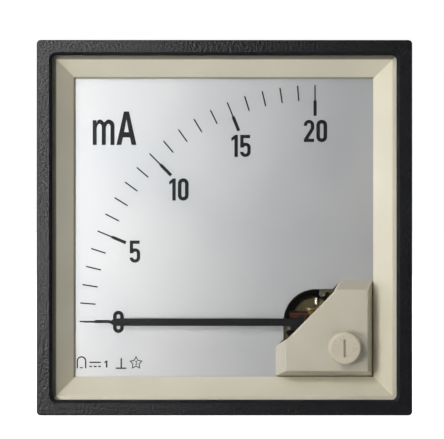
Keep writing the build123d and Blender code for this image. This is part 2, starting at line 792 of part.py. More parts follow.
rear_jewel_back_y = rear_jewel_front_y + jewel_length + lever_t
with BuildPart() as rear_jewel_screw:
    with BuildSketch(at_pivot(rear_jewel_back_y)):
        Circle(jewel_screw_r)
    extrude(amount=rear_jewel_back_y - rear_jewel_front_y)
    with BuildSketch(at_pivot(rear_jewel_front_y)):
        Circle(jewel_mouth_r)
    with BuildSketch(at_pivot(rear_jewel_front_y + jewel_depth)):
        Circle(jewel_bottom_r)
    loft(mode=Mode.SUBTRACT)
    with BuildSketch(at_pivot(rear_jewel_back_y, pillar_angle)):
        Rectangle(2 * jewel_screw_r, jewel_slot)
    extrude(amount=jewel_slot_depth, mode=Mode.SUBTRACT)
rear_jewel_screw.part.label = "rear_jewel_screw"
export_step(rear_jewel_screw.part, "parts/rear_jewel_screw.step")

with BuildPart() as front_lock_nut:
    with BuildSketch(at_pivot(lock_nut_y + lock_nut_t)):
        RegularPolygon(lock_nut_flats / 2, 6, major_radius=False)
        Circle(jewel_screw_r, mode=Mode.SUBTRACT)
    extrude(amount=lock_nut_t)
front_lock_nut.part.label = "front_lock_nut"
export_step(front_lock_nut.part, "parts/front_lock_nut.step")

with BuildPart() as rear_lock_nut:
    with BuildSketch(at_pivot(rear_nut_back_y)):
        RegularPolygon(lock_nut_flats / 2, 6, major_radius=False)
        Circle(jewel_screw_r, mode=Mode.SUBTRACT)
    extrude(amount=lock_nut_t)
rear_lock_nut.part.label = "rear_lock_nut"
export_step(rear_lock_nut.part, "parts/rear_lock_nut.step")

# Zero lever: turns on the front jewel screw, with a fork for the adjuster's pin and an arm
# whose bent tab holds the outer end of the front hairspring
fork_start = adjuster_distance + pin_eccentricity * cos(radians(zero_turn)) - pin_r - 2 * fit_gap
fork_end = adjuster_distance + pin_eccentricity + pin_r + 2 * fit_gap
tab_inner_r = spring_outer_r + spring_strip / 2 + spring_tab_gap
tab_outer_r = tab_inner_r + spring_tab_t
with BuildPart() as zero_lever:
    with BuildSketch(at_pivot(lever_y + lever_t, adjuster_angle)):
        Circle(lever_ring_r)
        Rectangle(fork_end, lever_fork_width, align=(Align.MIN, Align.CENTER))
        with Locations((fork_start, 0)):
            Rectangle(fork_end, 2 * (pin_r + fit_gap), align=(Align.MIN, Align.CENTER),
                      mode=Mode.SUBTRACT)
    extrude(amount=lever_t)
    with BuildSketch(at_pivot(lever_y + lever_t, spring_arm_angle)):
        Rectangle(tab_outer_r, spring_arm_width, align=(Align.MIN, Align.CENTER))
    extrude(amount=lever_t)
    with BuildSketch(at_pivot(spring_y + spring_width, spring_arm_angle)):
        with Locations((tab_inner_r, 0)):
            Rectangle(spring_tab_t, spring_arm_width, align=(Align.MIN, Align.CENTER))
    extrude(amount=spring_y + spring_width - lever_y)
    with BuildSketch(at_pivot(lever_y + lever_t)):
        Circle(jewel_screw_r + run_gap)
    extrude(amount=lever_t, mode=Mode.SUBTRACT)
zero_lever.part.label = "zero_lever"
export_step(zero_lever.part, "parts/zero_lever.step")

with BuildPart() as rear_spring_arm:
    rear_arm_angle = 3 * pillar_angle
    with BuildSketch(at_pivot(rear_arm_back_y, rear_arm_angle)):
        Circle(lever_ring_r)
        Rectangle(tab_outer_r, spring_arm_width, align=(Align.MIN, Align.CENTER))
        Rectangle(rear_arm_tail, spring_arm_width, align=(Align.MAX, Align.CENTER))
        Circle(jewel_screw_r, mode=Mode.SUBTRACT)
    extrude(amount=lever_t)
    with BuildSketch(at_pivot(rear_arm_back_y, rear_arm_angle)):
        with Locations((tab_inner_r, 0)):
            Rectangle(spring_tab_t, spring_arm_width, align=(Align.MIN, Align.CENTER))
    extrude(amount=rear_arm_back_y - rear_spring_y)
rear_spring_arm.part.label = "rear_spring_arm"
export_step(rear_spring_arm.part, "parts/rear_spring_arm.step")

# Hairsprings: flat spiral strips, each side a chain of half circles about two centres
spring_pitch = 2 * (spring_outer_r - spring_inner_r) / spring_half_turns


def spiral_side(offset):
    """Draws one side of the strip, offset from its middle line, and returns its two ends."""
    arcs = []
    for half in range(spring_half_turns):
        middle = spring_pitch / 4 * (1 if half % 2 else -1)
        radius = spring_inner_r + spring_pitch / 4 + half * spring_pitch / 2 + offset
        arcs.append(CenterArc((middle, 0), radius, 180 * (half % 2), 180))
    return arcs[0] @ 0, arcs[-1] @ 1


def hairspring(rear_y, end_angle):
    """A spiral strip round the pivot axis, whose outer end lies at end_angle."""
    with BuildPart() as spring:
        with BuildSketch(at_pivot(rear_y, end_angle - 180 * (spring_half_turns % 2))):
            with BuildLine():
                inside = spiral_side(-spring_strip / 2)
                outside = spiral_side(spring_strip / 2)
                Line(inside[0], outside[0])
                Line(inside[1], outside[1])
            make_face()
        extrude(amount=spring_width)
    return spring


front_hairspring = hairspring(spring_y + spring_width, spring_arm_angle)
front_hairspring.part.label = "front_hairspring"
export_step(front_hairspring.part, "parts/front_hairspring.step")
rear_hairspring = hairspring(rear_spring_y + spring_width, rear_arm_angle)
rear_hairspring.part.label = "rear_hairspring"
export_step(rear_hairspring.part, "parts/rear_hairspring.step")

# Coil: a light aluminium former with a rim along each edge, and the winding between them
coil_length = coil_rear_y - coil_front_y
coil_mid_y = (coil_front_y + coil_rear_y) / 2
winding_width = former_width - 2 * former_rim_t


def beside_coil(distance):
    """The plane along the coil's length, at that distance above the pivot axis."""
    return Plane(origin=(pivot_x, coil_mid_y, pivot_z + distance), x_dir=(1, 0, 0),
                 z_dir=(0, 0, 1))


def coil_frame(grow, mode=Mode.ADD):
    """Draws a rounded frame round the core, grown outwards by that much."""
    RectangleRounded(2 * (coil_inner_half + grow), coil_length + 2 * grow,
                     winding_corner + grow, mode=mode)


with BuildPart() as coil_former:
    with BuildSketch(beside_coil(-former_width / 2)):
        coil_frame(former_t)
    extrude(amount=former_width)
    with BuildSketch(beside_coil(-former_width / 2), beside_coil(winding_width / 2)):
        coil_frame(former_t + former_rim)
    extrude(amount=former_rim_t)
    with BuildSketch(beside_coil(-former_width / 2)):
        coil_frame(0)
    extrude(amount=former_width, mode=Mode.SUBTRACT)
coil_former.part.label = "coil_former"
export_step(coil_former.part, "parts/coil_former.step")

with BuildPart() as coil_winding:
    with BuildSketch(beside_coil(-winding_width / 2)):
        coil_frame(former_t + winding_t)
        coil_frame(former_t, mode=Mode.SUBTRACT)
    extrude(amount=winding_width)
coil_winding.part.label = "coil_winding"
export_step(coil_winding.part, "parts/coil_winding.step")

# Spindles: turned pins on feet that are glued to the coil, each with a collet for its
# hairspring and a tip in its jewel; the front one also carries pointer and balance cross
pivot_axis = Axis((pivot_x, 0, pivot_z), (0, 1, 0))
beside_pivot = Plane(origin=(pivot_x, 0, pivot_z), x_dir=(1, 0, 0), z_dir=(0, 0, 1))
tip_y = jewel_rear_y - jewel_depth + tip_gap
with BuildPart() as front_spindle:
    with BuildSketch(beside_pivot):
        with BuildLine():
            Polyline(
                (0, winding_front_y),
                (spindle_foot_r, winding_front_y),
                (spindle_foot_r, winding_front_y - spindle_foot_t),
                (spindle_r, winding_front_y - spindle_foot_t),
                (spindle_r, hub_y + hub_flange_t),
                (hub_flange_r, hub_y + hub_flange_t),
                (hub_flange_r, hub_y),
                (hub_r, hub_y),
                (hub_r, pointer_y),
                (spindle_r, pointer_y),
                (spindle_r, spring_y + spring_width),
                (collet_r, spring_y + spring_width),
                (collet_r, spring_y),
                (spindle_r, spring_y),
                (spindle_r, tip_y + tip_length),
                (tip_r, tip_y),
                (0, tip_y),
                close=True,
            )
        make_face()
    revolve(axis=pivot_axis)
front_spindle.part.label = "front_spindle"
export_step(front_spindle.part, "parts/front_spindle.step")

rear_tip_y = rear_jewel_front_y + jewel_depth - tip_gap
with BuildPart() as rear_spindle:
    with BuildSketch(beside_pivot):
        with BuildLine():
            Polyline(
                (0, winding_rear_y),
                (spindle_foot_r, winding_rear_y),
                (spindle_foot_r, rear_foot_y),
                (spindle_r, rear_foot_y),
                (spindle_r, rear_spring_y),
                (collet_r, rear_spring_y),
                (collet_r, rear_spring_y + spring_width),
                (spindle_r, rear_spring_y + spring_width),
                (spindle_r, rear_tip_y - tip_length),
                (tip_r, rear_tip_y),
                (0, rear_tip_y),
                close=True,
            )
        make_face()
    revolve(axis=pivot_axis)
rear_spindle.part.label = "rear_spindle"
export_step(rear_spindle.part, "parts/rear_spindle.step")

# Pointer: a flat bar with a wide root and a lance tip, at rest at zero on the left
with BuildPart() as pointer:
    with BuildSketch(at_pivot(pointer_y + pointer_t, 180)):
        with BuildLine():
            Polyline(
                (0, 0),
                (0, pointer_root_width / 2),
                (pointer_root_end, pointer_root_width / 2),
                (pointer_root_end + pointer_root_taper, pointer_width / 2),
                (pointer_bar_end, pointer_width / 2),
                (pointer_bar_end + pointer_taper, pointer_tip_width / 2),
                (pointer_length, pointer_tip_width / 4),
                (pointer_length, 0),
                close=True,
            )
        make_face()
        mirror(about=Plane.XZ)
        Circle(pointer_ring_r)
        Circle(hub_r, mode=Mode.SUBTRACT)
    extrude(amount=pointer_t)
pointer.part.label = "pointer"
export_step(pointer.part, "parts/pointer.step")

# Balance: a cross on the hub, with a weight on each side arm and one on the tail that is
# as long as it takes to balance the pointer
with BuildPart() as balance_cross:
    with BuildSketch(at_pivot(hub_y)):
        Circle(cross_ring_r)
        Rectangle(cross_arm_width, 2 * side_arm)
        Rectangle(tail_arm, cross_arm_width, align=(Align.MIN, Align.CENTER))
        Circle(hub_r, mode=Mode.SUBTRACT)
    extrude(amount=cross_t)
balance_cross.part.label = "balance_cross"
export_step(balance_cross.part, "parts/balance_cross.step")

pointer_moment = pointer.part.volume * (pivot_x - pointer.part.center(CenterOf.MASS).X)
tail_moment = balance_cross.part.volume * (balance_cross.part.center(CenterOf.MASS).X - pivot_x)
weight_face = pi * tail_weight_r**2 - cross_t * cross_arm_width
tail_weight_length = (
    aluminium_density * (pointer_moment - tail_moment)
    / (brass_density * weight_face * tail_weight_at)
)


def along_arm(angle, distance):
    """The plane square to a cross arm, at that distance from the pivot."""
    out = (cos(radians(angle)), 0, sin(radians(angle)))
    place = (pivot_x + distance * out[0], cross_y + cross_t / 2, pivot_z + distance * out[2])
    return Plane(origin=place, x_dir=(0, 1, 0), z_dir=out)


with BuildPart() as balance_weights:
    for angle in (90, -90):
        with BuildSketch(along_arm(angle, side_arm - side_weight_length)):
            Circle(side_weight_r)
            Rectangle(cross_t, cross_arm_width, mode=Mode.SUBTRACT)
        extrude(amount=side_weight_length)
    with BuildSketch(along_arm(0, tail_weight_at - tail_weight_length / 2)):
        Circle(tail_weight_r)
        Rectangle(cross_t, cross_arm_width, mode=Mode.SUBTRACT)
    extrude(amount=tail_weight_length)
balance_weights.part.label = "balance_weights"
export_step(balance_weights.part, "parts/balance_weights.step")

# Terminals: studs through the case floor, each held by an inner nut on a tag, with two
# washers and two nuts outside and a free end for a lug
pad_y = case_depth + pad_height
inner_nut_y = floor_y - tag_t - nut_t
first_nut_y = pad_y + washer_t
second_nut_y = first_nut_y + nut_t + washer_t
with BuildPart() as terminal_studs:
    with BuildSketch(facing(stud_tip_y)):
        with Locations(*terminal_points):
            Circle(stud_r)
    extrude(amount=stud_tip_y - inner_nut_y + stud_head_length)
    chamfer(terminal_studs.faces().sort_by(Axis.Y)[-2:].edges(), stud_tip_chamfer)
    with BuildSketch(facing(second_nut_y + nut_t + stud_groove_t)):
        with Locations(*terminal_points):
            Circle(stud_r)
            Circle(stud_groove_r, mode=Mode.SUBTRACT)
    extrude(amount=stud_groove_t, mode=Mode.SUBTRACT)
terminal_studs.part.label = "terminal_studs"
export_step(terminal_studs.part, "parts/terminal_studs.step")

with BuildPart() as terminal_nuts:
    for nut_y in (first_nut_y, second_nut_y):
        with BuildSketch(facing(nut_y + nut_t)):
            with Locations(*terminal_points):
                RegularPolygon(nut_flats / 2, 6, major_radius=False)
                Circle(stud_r, mode=Mode.SUBTRACT)
        extrude(amount=nut_t)
terminal_nuts.part.label = "terminal_nuts"
export_step(terminal_nuts.part, "parts/terminal_nuts.step")

with BuildPart() as terminal_inner_nuts:
    with BuildSketch(facing(inner_nut_y + nut_t)):
        with Locations(*terminal_points):
            RegularPolygon(nut_flats / 2, 6, major_radius=False)
            Circle(stud_r, mode=Mode.SUBTRACT)
    extrude(amount=nut_t)
terminal_inner_nuts.part.label = "terminal_inner_nuts"
export_step(terminal_inner_nuts.part, "parts/terminal_inner_nuts.step")

with BuildPart() as terminal_washers:
    for washer_y in (pad_y, first_nut_y + nut_t):
        with BuildSketch(facing(washer_y + washer_t)):
            with Locations(*terminal_points):
                Circle(washer_r)
                Circle(stud_r + fit_gap, mode=Mode.SUBTRACT)
        extrude(amount=washer_t)
terminal_washers.part.label = "terminal_washers"
export_step(terminal_washers.part, "parts/terminal_washers.step")

with BuildPart() as terminal_tags:
    with BuildSketch(facing(floor_y)):
        with Locations(*terminal_points):
            Circle(tag_ring_r)
            Rectangle(tag_width, tag_tail, align=(Align.CENTER, Align.MAX))
            Circle(stud_r + fit_gap, mode=Mode.SUBTRACT)
    extrude(amount=tag_t)
terminal_tags.part.label = "terminal_tags"
export_step(terminal_tags.part, "parts/terminal_tags.step")

with BuildPart() as case_screws:
    screw_seat_y = case_depth - counterbore_depth
    with BuildSketch(facing(screw_seat_y + case_screw_head_t)):
        with GridLocations(boss_spread, boss_spread, 2, 2):
            Circle(case_screw_head_r)
    extrude(amount=case_screw_head_t)
    with BuildSketch(facing(screw_seat_y)):
        with GridLocations(boss_spread, boss_spread, 2, 2):
            Circle(case_screw_r)
    extrude(amount=case_screw_length)
case_screws.part.label = "case_screws"
export_step(case_screws.part, "parts/case_screws.step")

# Resistor board on the chassis posts, with a large and a small resistor on bent leads
board_y = plate_rear_y + post_length
board_rear_y = board_y + board_t
with BuildPart() as resistor_board:
    with BuildSketch(facing(board_rear_y)):
        with Locations((board_x, board_z)):
            RectangleRounded(board_width, board_height, post_pin_r)
        with Locations(*post_points):
            Circle(post_pin_r + thread_gap, mode=Mode.SUBTRACT)
    extrude(amount=board_t)
resistor_board.part.label = "resistor_board"
export_step(resistor_board.part, "parts/resistor_board.step")

with BuildPart() as resistors:
    for z, r, length in ((swamp_z, swamp_r, swamp_length), (trim_z, trim_r, trim_length)):
        middle_y = board_rear_y + lead_lift + r
        with BuildSketch(Plane.YZ.offset(board_x - length / 2)):
            with Locations((middle_y, z)):
                Circle(r)
        extrude(amount=length)
        foot_x = length / 2 + lead_reach
        with BuildLine():
            lead = FilletPolyline(
                (board_x - foot_x, board_rear_y, z),
                (board_x - foot_x, middle_y, z),
                (board_x + foot_x, middle_y, z),
                (board_x + foot_x, board_rear_y, z),
                radius=3 * lead_r,
            )
        with BuildSketch(facing(board_rear_y, board_x - foot_x, z)):
            Circle(lead_r)
        sweep(path=lead)
resistors.part.label = "resistors"
export_step(resistors.part, "parts/resistors.step")

# Hook-up wires: terminal to rear spring arm, terminal to board, and board to yoke
tail_angle = radians(rear_arm_angle + 180)
arm_tail_x = pivot_x + (rear_arm_tail - wire_r) * cos(tail_angle)
arm_tail_z = pivot_z + (rear_arm_tail - wire_r) * sin(tail_angle)
tag_foot_z = terminal_z - tag_tail + 2 * wire_r
yoke_mid_r = (yoke_inner_r + yoke_outer_r) / 2
yoke_tag = (
    pivot_x + yoke_mid_r * cos(radians(rear_arm_angle)),
    pivot_z + yoke_mid_r * sin(radians(rear_arm_angle)),
)
tag_front_y = floor_y - tag_t
wire_level_y = tag_front_y - wire_drop
yoke_wire_y = yoke_rear_y + yoke_wire_rise
board_wire_x = board_x + board_wire_right
board_wire_z = board_z - board_wire_below
wire_routes = [
    [
        (arm_tail_x, rear_arm_back_y, arm_tail_z),
        (arm_tail_x, wire_level_y, arm_tail_z),
        (terminal_spread / 2, wire_level_y, tag_foot_z),
        (terminal_spread / 2, tag_front_y, tag_foot_z),
    ],
    [
        (-terminal_spread / 2, tag_front_y, tag_foot_z),
        (-terminal_spread / 2, wire_level_y, tag_foot_z),
        (-terminal_spread / 2, wire_level_y, 0),
        (-terminal_spread / 2, board_rear_y, 0),
    ],
    [
        (board_wire_x, board_rear_y, board_wire_z),
        (board_wire_x, yoke_wire_y, board_wire_z),
        (yoke_tag[0], yoke_wire_y, yoke_tag[1]),
        (yoke_tag[0], yoke_rear_y, yoke_tag[1]),
    ],
]
with BuildPart() as hookup_wires:
    for route in wire_routes:
        with BuildLine():
            run = FilletPolyline(*route, radius=wire_bend)
        with BuildSketch(Plane(origin=run @ 0, z_dir=run % 0)):
            Circle(wire_r)
        sweep(path=run)
hookup_wires.part.label = "hookup_wires"
export_step(hookup_wires.part, "parts/hookup_wires.step")

# Panel clamps: a steel bracket hooked into the case side, a screw through its lug, and a
# foot on the screw's tip that presses on the rear of the panel
plate_x = case_half + fit_gap
plate_out_x = plate_x + clamp_plate_t
screw_x = plate_out_x + clamp_screw_out
hook_x = case_inner_half - fit_gap - hook_t
foot_rear_y = foot_front_y + foot_t
with BuildPart() as clamp_bracket_right:
    with BuildSketch(Plane.XY.offset(-clamp_width / 2)):
        with BuildLine():
            FilletPolyline(
                (plate_x + clamp_plate_t / 2, clamp_front_y),
                (plate_x + clamp_plate_t / 2, clamp_rear_y - clamp_plate_t / 2),
                (plate_out_x + clamp_lug_reach, clamp_rear_y - clamp_plate_t / 2),
                radius=clamp_bend_r + clamp_plate_t / 2,
            )
        trace(line_width=clamp_plate_t)
    extrude(amount=clamp_width)
    with BuildSketch(Plane.XY.offset(-hook_width / 2)):
        for y in hook_ys:
            with Locations((hook_x, y)):
                Rectangle(plate_x - hook_x, hook_t, align=Align.MIN)
                Rectangle(hook_t, hook_t + hook_leg, align=Align.MIN)
    extrude(amount=hook_width)
    with BuildSketch(facing(clamp_rear_y, screw_x)):
        Circle(clamp_screw_r + run_gap)
    extrude(amount=clamp_plate_t, mode=Mode.SUBTRACT)
clamp_bracket_right.part.label = "clamp_bracket_right"
export_step(clamp_bracket_right.part, "parts/clamp_bracket_right.step")

with BuildPart() as clamp_foot_right:
    with BuildSketch(facing(foot_rear_y, screw_x)):
        RectangleRounded(2 * (clamp_screw_out - fit_gap), foot_height, foot_corner)
    extrude(amount=foot_t)
    with BuildSketch(facing(foot_rear_y, screw_x)):
        Circle(clamp_screw_r + run_gap)
    extrude(amount=clamp_bore_depth, mode=Mode.SUBTRACT)
clamp_foot_right.part.label = "clamp_foot_right"
export_step(clamp_foot_right.part, "parts/clamp_foot_right.step")

with BuildPart() as clamp_screw_right:
    with BuildSketch(facing(clamp_screw_rear_y, screw_x)):
        Circle(clamp_screw_r)
    extrude(amount=clamp_screw_rear_y - foot_rear_y + clamp_bore_depth - run_gap)
    with BuildSketch(facing(clamp_screw_rear_y, screw_x)):
        Rectangle(2 * clamp_screw_r, driver_slot)
    extrude(amount=driver_slot_depth, mode=Mode.SUBTRACT)
clamp_screw_right.part.label = "clamp_screw_right"
export_step(clamp_screw_right.part, "parts/clamp_screw_right.step")

with BuildPart() as clamp_bracket_left:
    mirror(clamp_bracket_right.part, about=Plane.YZ)
clamp_bracket_left.part.label = "clamp_bracket_left"
export_step(clamp_bracket_left.part, "parts/clamp_bracket_left.step")

with BuildPart() as clamp_foot_left:
    mirror(clamp_foot_right.part, about=Plane.YZ)
clamp_foot_left.part.label = "clamp_foot_left"
export_step(clamp_foot_left.part, "parts/clamp_foot_left.step")

with BuildPart() as clamp_screw_left:
    mirror(clamp_screw_right.part, about=Plane.YZ)
clamp_screw_left.part.label = "clamp_screw_left"
export_step(clamp_screw_left.part, "parts/clamp_screw_left.step")
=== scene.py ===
import math

import bmesh
import bpy
from mathutils import Matrix, Vector


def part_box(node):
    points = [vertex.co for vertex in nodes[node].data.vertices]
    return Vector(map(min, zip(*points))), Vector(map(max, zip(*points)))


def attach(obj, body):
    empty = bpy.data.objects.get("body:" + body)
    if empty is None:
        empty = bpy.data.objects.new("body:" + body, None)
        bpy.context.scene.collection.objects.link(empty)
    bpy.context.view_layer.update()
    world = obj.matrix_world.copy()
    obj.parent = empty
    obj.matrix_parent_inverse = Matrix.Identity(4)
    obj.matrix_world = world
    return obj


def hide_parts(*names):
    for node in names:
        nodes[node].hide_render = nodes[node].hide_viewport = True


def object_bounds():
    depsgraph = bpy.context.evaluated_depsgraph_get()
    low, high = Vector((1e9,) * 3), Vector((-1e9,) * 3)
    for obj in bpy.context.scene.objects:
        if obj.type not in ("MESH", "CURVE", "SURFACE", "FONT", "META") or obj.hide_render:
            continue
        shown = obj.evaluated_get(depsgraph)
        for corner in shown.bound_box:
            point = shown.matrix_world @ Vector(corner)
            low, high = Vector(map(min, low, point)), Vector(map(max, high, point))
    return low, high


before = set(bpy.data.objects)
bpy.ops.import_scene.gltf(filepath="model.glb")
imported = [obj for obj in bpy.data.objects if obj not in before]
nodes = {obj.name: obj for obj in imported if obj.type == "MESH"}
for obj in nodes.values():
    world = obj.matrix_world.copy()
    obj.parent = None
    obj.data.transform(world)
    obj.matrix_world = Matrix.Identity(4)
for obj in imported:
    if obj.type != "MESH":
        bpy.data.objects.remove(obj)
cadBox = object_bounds()
mm = 0.001
noiseLow, noiseHigh = 0.3, 0.7  # nearly all of a noise lies between these
# how close two places are when they count as one
near = {"weld": 0.002 * mm, "threadWeld": 0.005 * mm, "cut": 0.001 * mm, "rim": 0.01 * mm}
print("stage: frame loaded,", len(nodes), "nodes")


# small helpers for colours, nodes and meshes

def srgb(code):
    channels = [int(code[i:i + 2], 16) / 255 for i in (1, 3, 5)]
    linear = [c / 12.92 if c <= 0.04045 else ((c + 0.055) / 1.055) ** 2.4 for c in channels]
    return (*linear, 1.0)


def addNode(tree, kind, settings=None, inputs=None, stops=()):
    # stops are the places and colours of a ramp
    node = tree.nodes.new("ShaderNode" + kind)
    for name, value in (settings or {}).items():
        setattr(node, name, value)
    for name, value in (inputs or {}).items():
        if isinstance(value, bpy.types.NodeSocket):
            tree.links.new(value, node.inputs[name])
        else:
            node.inputs[name].default_value = value
    if stops:
        elements = node.color_ramp.elements
        while len(elements) < len(stops):
            elements.new(0.5)
        for element, (position, code) in zip(elements, stops):
            element.position = position
            element.color = srgb(code)
    return node


def newMaterial(name):
    material = bpy.data.materials.new(name)
    material.use_nodes = True
    material.node_tree.nodes.clear()
    return material, material.node_tree


def newPiece(name, mesh, material, body, replaced=()):
    piece = bpy.data.objects.new(name, mesh)
    bpy.context.scene.collection.objects.link(piece)
    mesh.materials.clear()
    mesh.materials.append(material)
    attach(piece, body)
    if replaced:
        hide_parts(*replaced)


def meshFrom(bm, name, sharpAngle=35):
    bmesh.ops.remove_doubles(bm, verts=bm.verts, dist=near["weld"])
    bmesh.ops.recalc_face_normals(bm, faces=bm.faces)
    mesh = bpy.data.meshes.new(name)
    bm.to_mesh(mesh)
    bm.free()
    for polygon in mesh.polygons:
        polygon.use_smooth = True
    mesh.set_sharp_from_angle(angle=math.radians(sharpAngle))
    return mesh


# materials: each starts from what the real one is and how its surface was made

def mouldedPlastic(name, look):
    look = {"mottle": 0.06, **look}
    material, tree = newMaterial(name)
    place = addNode(tree, "TexCoord").outputs["Object"]
    grain = addNode(tree, "TexNoise", inputs={
        "Vector": place, "Scale": 1 / (look["grain"] * mm), "Detail": 3.0, "Roughness": 0.6})
    patches = addNode(tree, "TexNoise", inputs={
        "Vector": place, "Scale": 1 / (look["patches"] * mm), "Detail": 2.0})
    colour = addNode(tree, "ValToRGB", inputs={"Fac": patches.outputs["Fac"]}, stops=[
        (noiseLow, look["dark"]), (noiseHigh, look["light"])])
    speckle = addNode(tree, "MapRange", inputs={
        "Value": grain.outputs["Fac"], "From Min": noiseLow, "From Max": noiseHigh,
        "To Min": 1 - look["speckle"], "To Max": 1 + look["speckle"]})
    tinted = addNode(tree, "Mix", {"data_type": "RGBA", "blend_type": "MULTIPLY"}, {
        "Factor": 1.0, "A": colour.outputs["Color"], "B": speckle.outputs["Result"]})
    if "paintedShade" in look:
        # painted shade: above the diagonal, how far up or left of the middle a place is sets how
        # dark it is
        parts = addNode(tree, "SeparateXYZ", inputs={"Vector": place})
        leftward = addNode(tree, "Math", {"operation": "MULTIPLY"}, {
            0: parts.outputs["X"], 1: -1.0})
        reach = addNode(tree, "Math", {"operation": "MAXIMUM"}, {
            0: leftward.outputs["Value"], 1: parts.outputs["Z"]})
        above = addNode(tree, "Math", {"operation": "GREATER_THAN"}, {
            0: parts.outputs["Z"], 1: parts.outputs["X"]})
        shaded = addNode(tree, "Math", {"operation": "MULTIPLY"}, {
            0: reach.outputs["Value"], 1: above.outputs["Value"]})
        low, high = look["paintedShade"][0][0], look["paintedShade"][-1][0]
        share = addNode(tree, "MapRange", inputs={
            "Value": shaded.outputs["Value"], "From Min": low * mm, "From Max": high * mm})
        shade = addNode(tree, "ValToRGB", inputs={"Fac": share.outputs["Result"]}, stops=[
            ((mark - low) / (high - low), grey) for mark, grey in look["paintedShade"]])
        tinted = addNode(tree, "Mix", {"data_type": "RGBA", "blend_type": "MULTIPLY"}, {
            "Factor": 1.0, "A": tinted.outputs["Result"], "B": shade.outputs["Color"]})
    rough = addNode(tree, "MapRange", inputs={
        "Value": grain.outputs["Fac"], "From Min": noiseLow, "From Max": noiseHigh,
        "To Min": look["roughness"] - look["mottle"],
        "To Max": look["roughness"] + look["mottle"]})
    bump = addNode(tree, "Bump", inputs={
        "Strength": look["bump"], "Distance": look["depth"] * mm,
        "Height": grain.outputs["Fac"]})
    shader = addNode(tree, "BsdfPrincipled", inputs={
        "Base Color": tinted.outputs["Result"], "Roughness": rough.outputs["Result"],
        "IOR": look["ior"], "Normal": bump.outputs["Normal"]})
    addNode(tree, "OutputMaterial", inputs={"Surface": shader.outputs["BSDF"]})
    return material


def metal(name, look):
    look = {"metallic": 1.0, "mottle": 0.08, **look}
    material, tree = newMaterial(name)
    place = addNode(tree, "TexCoord").outputs["Object"]
    stretched = addNode(tree, "Mapping", inputs={"Vector": place, "Scale": look["stretch"]})
    marks = addNode(tree, "TexNoise", inputs={
        "Vector": stretched.outputs["Vector"], "Scale": 1 / (look["marks"] * mm),
        "Detail": 4.0, "Roughness": 0.65})
    clouds = addNode(tree, "TexNoise", inputs={
        "Vector": place, "Scale": 1 / (look["clouds"] * mm), "Detail": 2.0})
    colour = addNode(tree, "ValToRGB", inputs={"Fac": clouds.outputs["Fac"]}, stops=[
        (noiseLow, look["dark"]), (noiseHigh, look["light"])])
    rough = addNode(tree, "MapRange", inputs={
        "Value": marks.outputs["Fac"], "From Min": noiseLow, "From Max": noiseHigh,
        "To Min": look["roughness"] - look["mottle"],
        "To Max": look["roughness"] + look["mottle"]})
    bump = addNode(tree, "Bump", inputs={
        "Strength": look["bump"], "Distance": look["depth"] * mm,
        "Height": marks.outputs["Fac"]})
    shader = addNode(tree, "BsdfPrincipled", inputs={
        "Base Color": colour.outputs["Color"], "Metallic": look["metallic"],
        "Roughness": rough.outputs["Result"], "Normal": bump.outputs["Normal"]})
    addNode(tree, "OutputMaterial", inputs={"Surface": shader.outputs["BSDF"]})
    return material


# black ABS from a spark-eroded mould: an even matt grain that turns grey where light grazes it
blackMoulding = mouldedPlastic("abs_black_spark_eroded", {
    "dark": "#0f1013", "light": "#15161a", "roughness": 0.38, "ior": 1.45, "mottle": 0.1,
    "grain": 0.7, "patches": 14.0, "speckle": 0.3, "bump": 1.0, "depth": 0.2})

# cream polystyrene from a finely blasted mould: warm, nearly smooth, a soft sheen; at the top
# and left painted shade darkens the step under the window's rim and greys the edge beside the
# dial
creamMoulding = mouldedPlastic("polystyrene_cream_fine_blasted", {
    "dark": "#dbd4c2", "light": "#e2dccb", "roughness": 0.46, "ior": 1.5,
    "grain": 0.5, "patches": 18.0, "speckle": 0.012, "bump": 0.12, "depth": 0.02,
    # painted shade: a grey line along the inner edge beside the dial, and a darker band in the
    # step under the window's rim, on the top and left only
    "paintedShade": ((38.8, "#ffffff"), (39.0, "#bcbcba"), (39.55, "#bcbcba"), (39.7, "#ffffff"),
               (43.25, "#ffffff"), (43.4, "#b4b2ac"), (44.0, "#94928c"))})

# the cover comes from another mould and batch: the same cream, a shade darker and greener
creamCover = mouldedPlastic("polystyrene_cream_cover", {
    "dark": "#c0b9aa", "light": "#c7c0b2", "roughness": 0.46, "ior": 1.5,
    "grain": 0.5, "patches": 9.0, "speckle": 0.012, "bump": 0.12, "depth": 0.02})

# the button is a glossier cream that fingers and screwdrivers have rubbed
creamButton = mouldedPlastic("polystyrene_cream_polished", {
    "dark": "#b7af9d", "light": "#bfb7a6", "roughness": 0.3, "ior": 1.52,
    "grain": 0.8, "patches": 6.0, "speckle": 0.01, "bump": 0.1, "depth": 0.015})

# glass-filled resin of the chassis: olive brown, matt, mottled with flow marks
chassisMoulding = mouldedPlastic("resin_olive_glass_filled", {
    "dark": "#4d4732", "light": "#67644a", "roughness": 0.6, "ior": 1.5,
    "grain": 0.5, "patches": 2.2, "speckle": 0.25, "bump": 0.4, "depth": 0.04})

# paper laminate board: brown, with fibres that show through the resin
boardLaminate = mouldedPlastic("laminate_paper_brown", {
    "dark": "#6d4a28", "light": "#80592f", "roughness": 0.35, "ior": 1.52,
    "grain": 0.35, "patches": 3.0, "speckle": 0.1, "bump": 0.2, "depth": 0.02})

# baked lacquer on the resistors: grey green, slightly orange-peeled
resistorLacquer = mouldedPlastic("lacquer_grey_green_baked", {
    "dark": "#4c5a4c", "light": "#5a6859", "roughness": 0.4, "ior": 1.5,
    "grain": 0.9, "patches": 3.0, "speckle": 0.05, "bump": 0.3, "depth": 0.03})

# extruded vinyl on the hook-up wires: red and glossy with faint drawing lines
wireVinyl = mouldedPlastic("vinyl_red_extruded", {
    "dark": "#8e1712", "light": "#a01d17", "roughness": 0.32, "ior": 1.52,
    "grain": 0.6, "patches": 4.0, "speckle": 0.03, "bump": 0.15, "depth": 0.015})

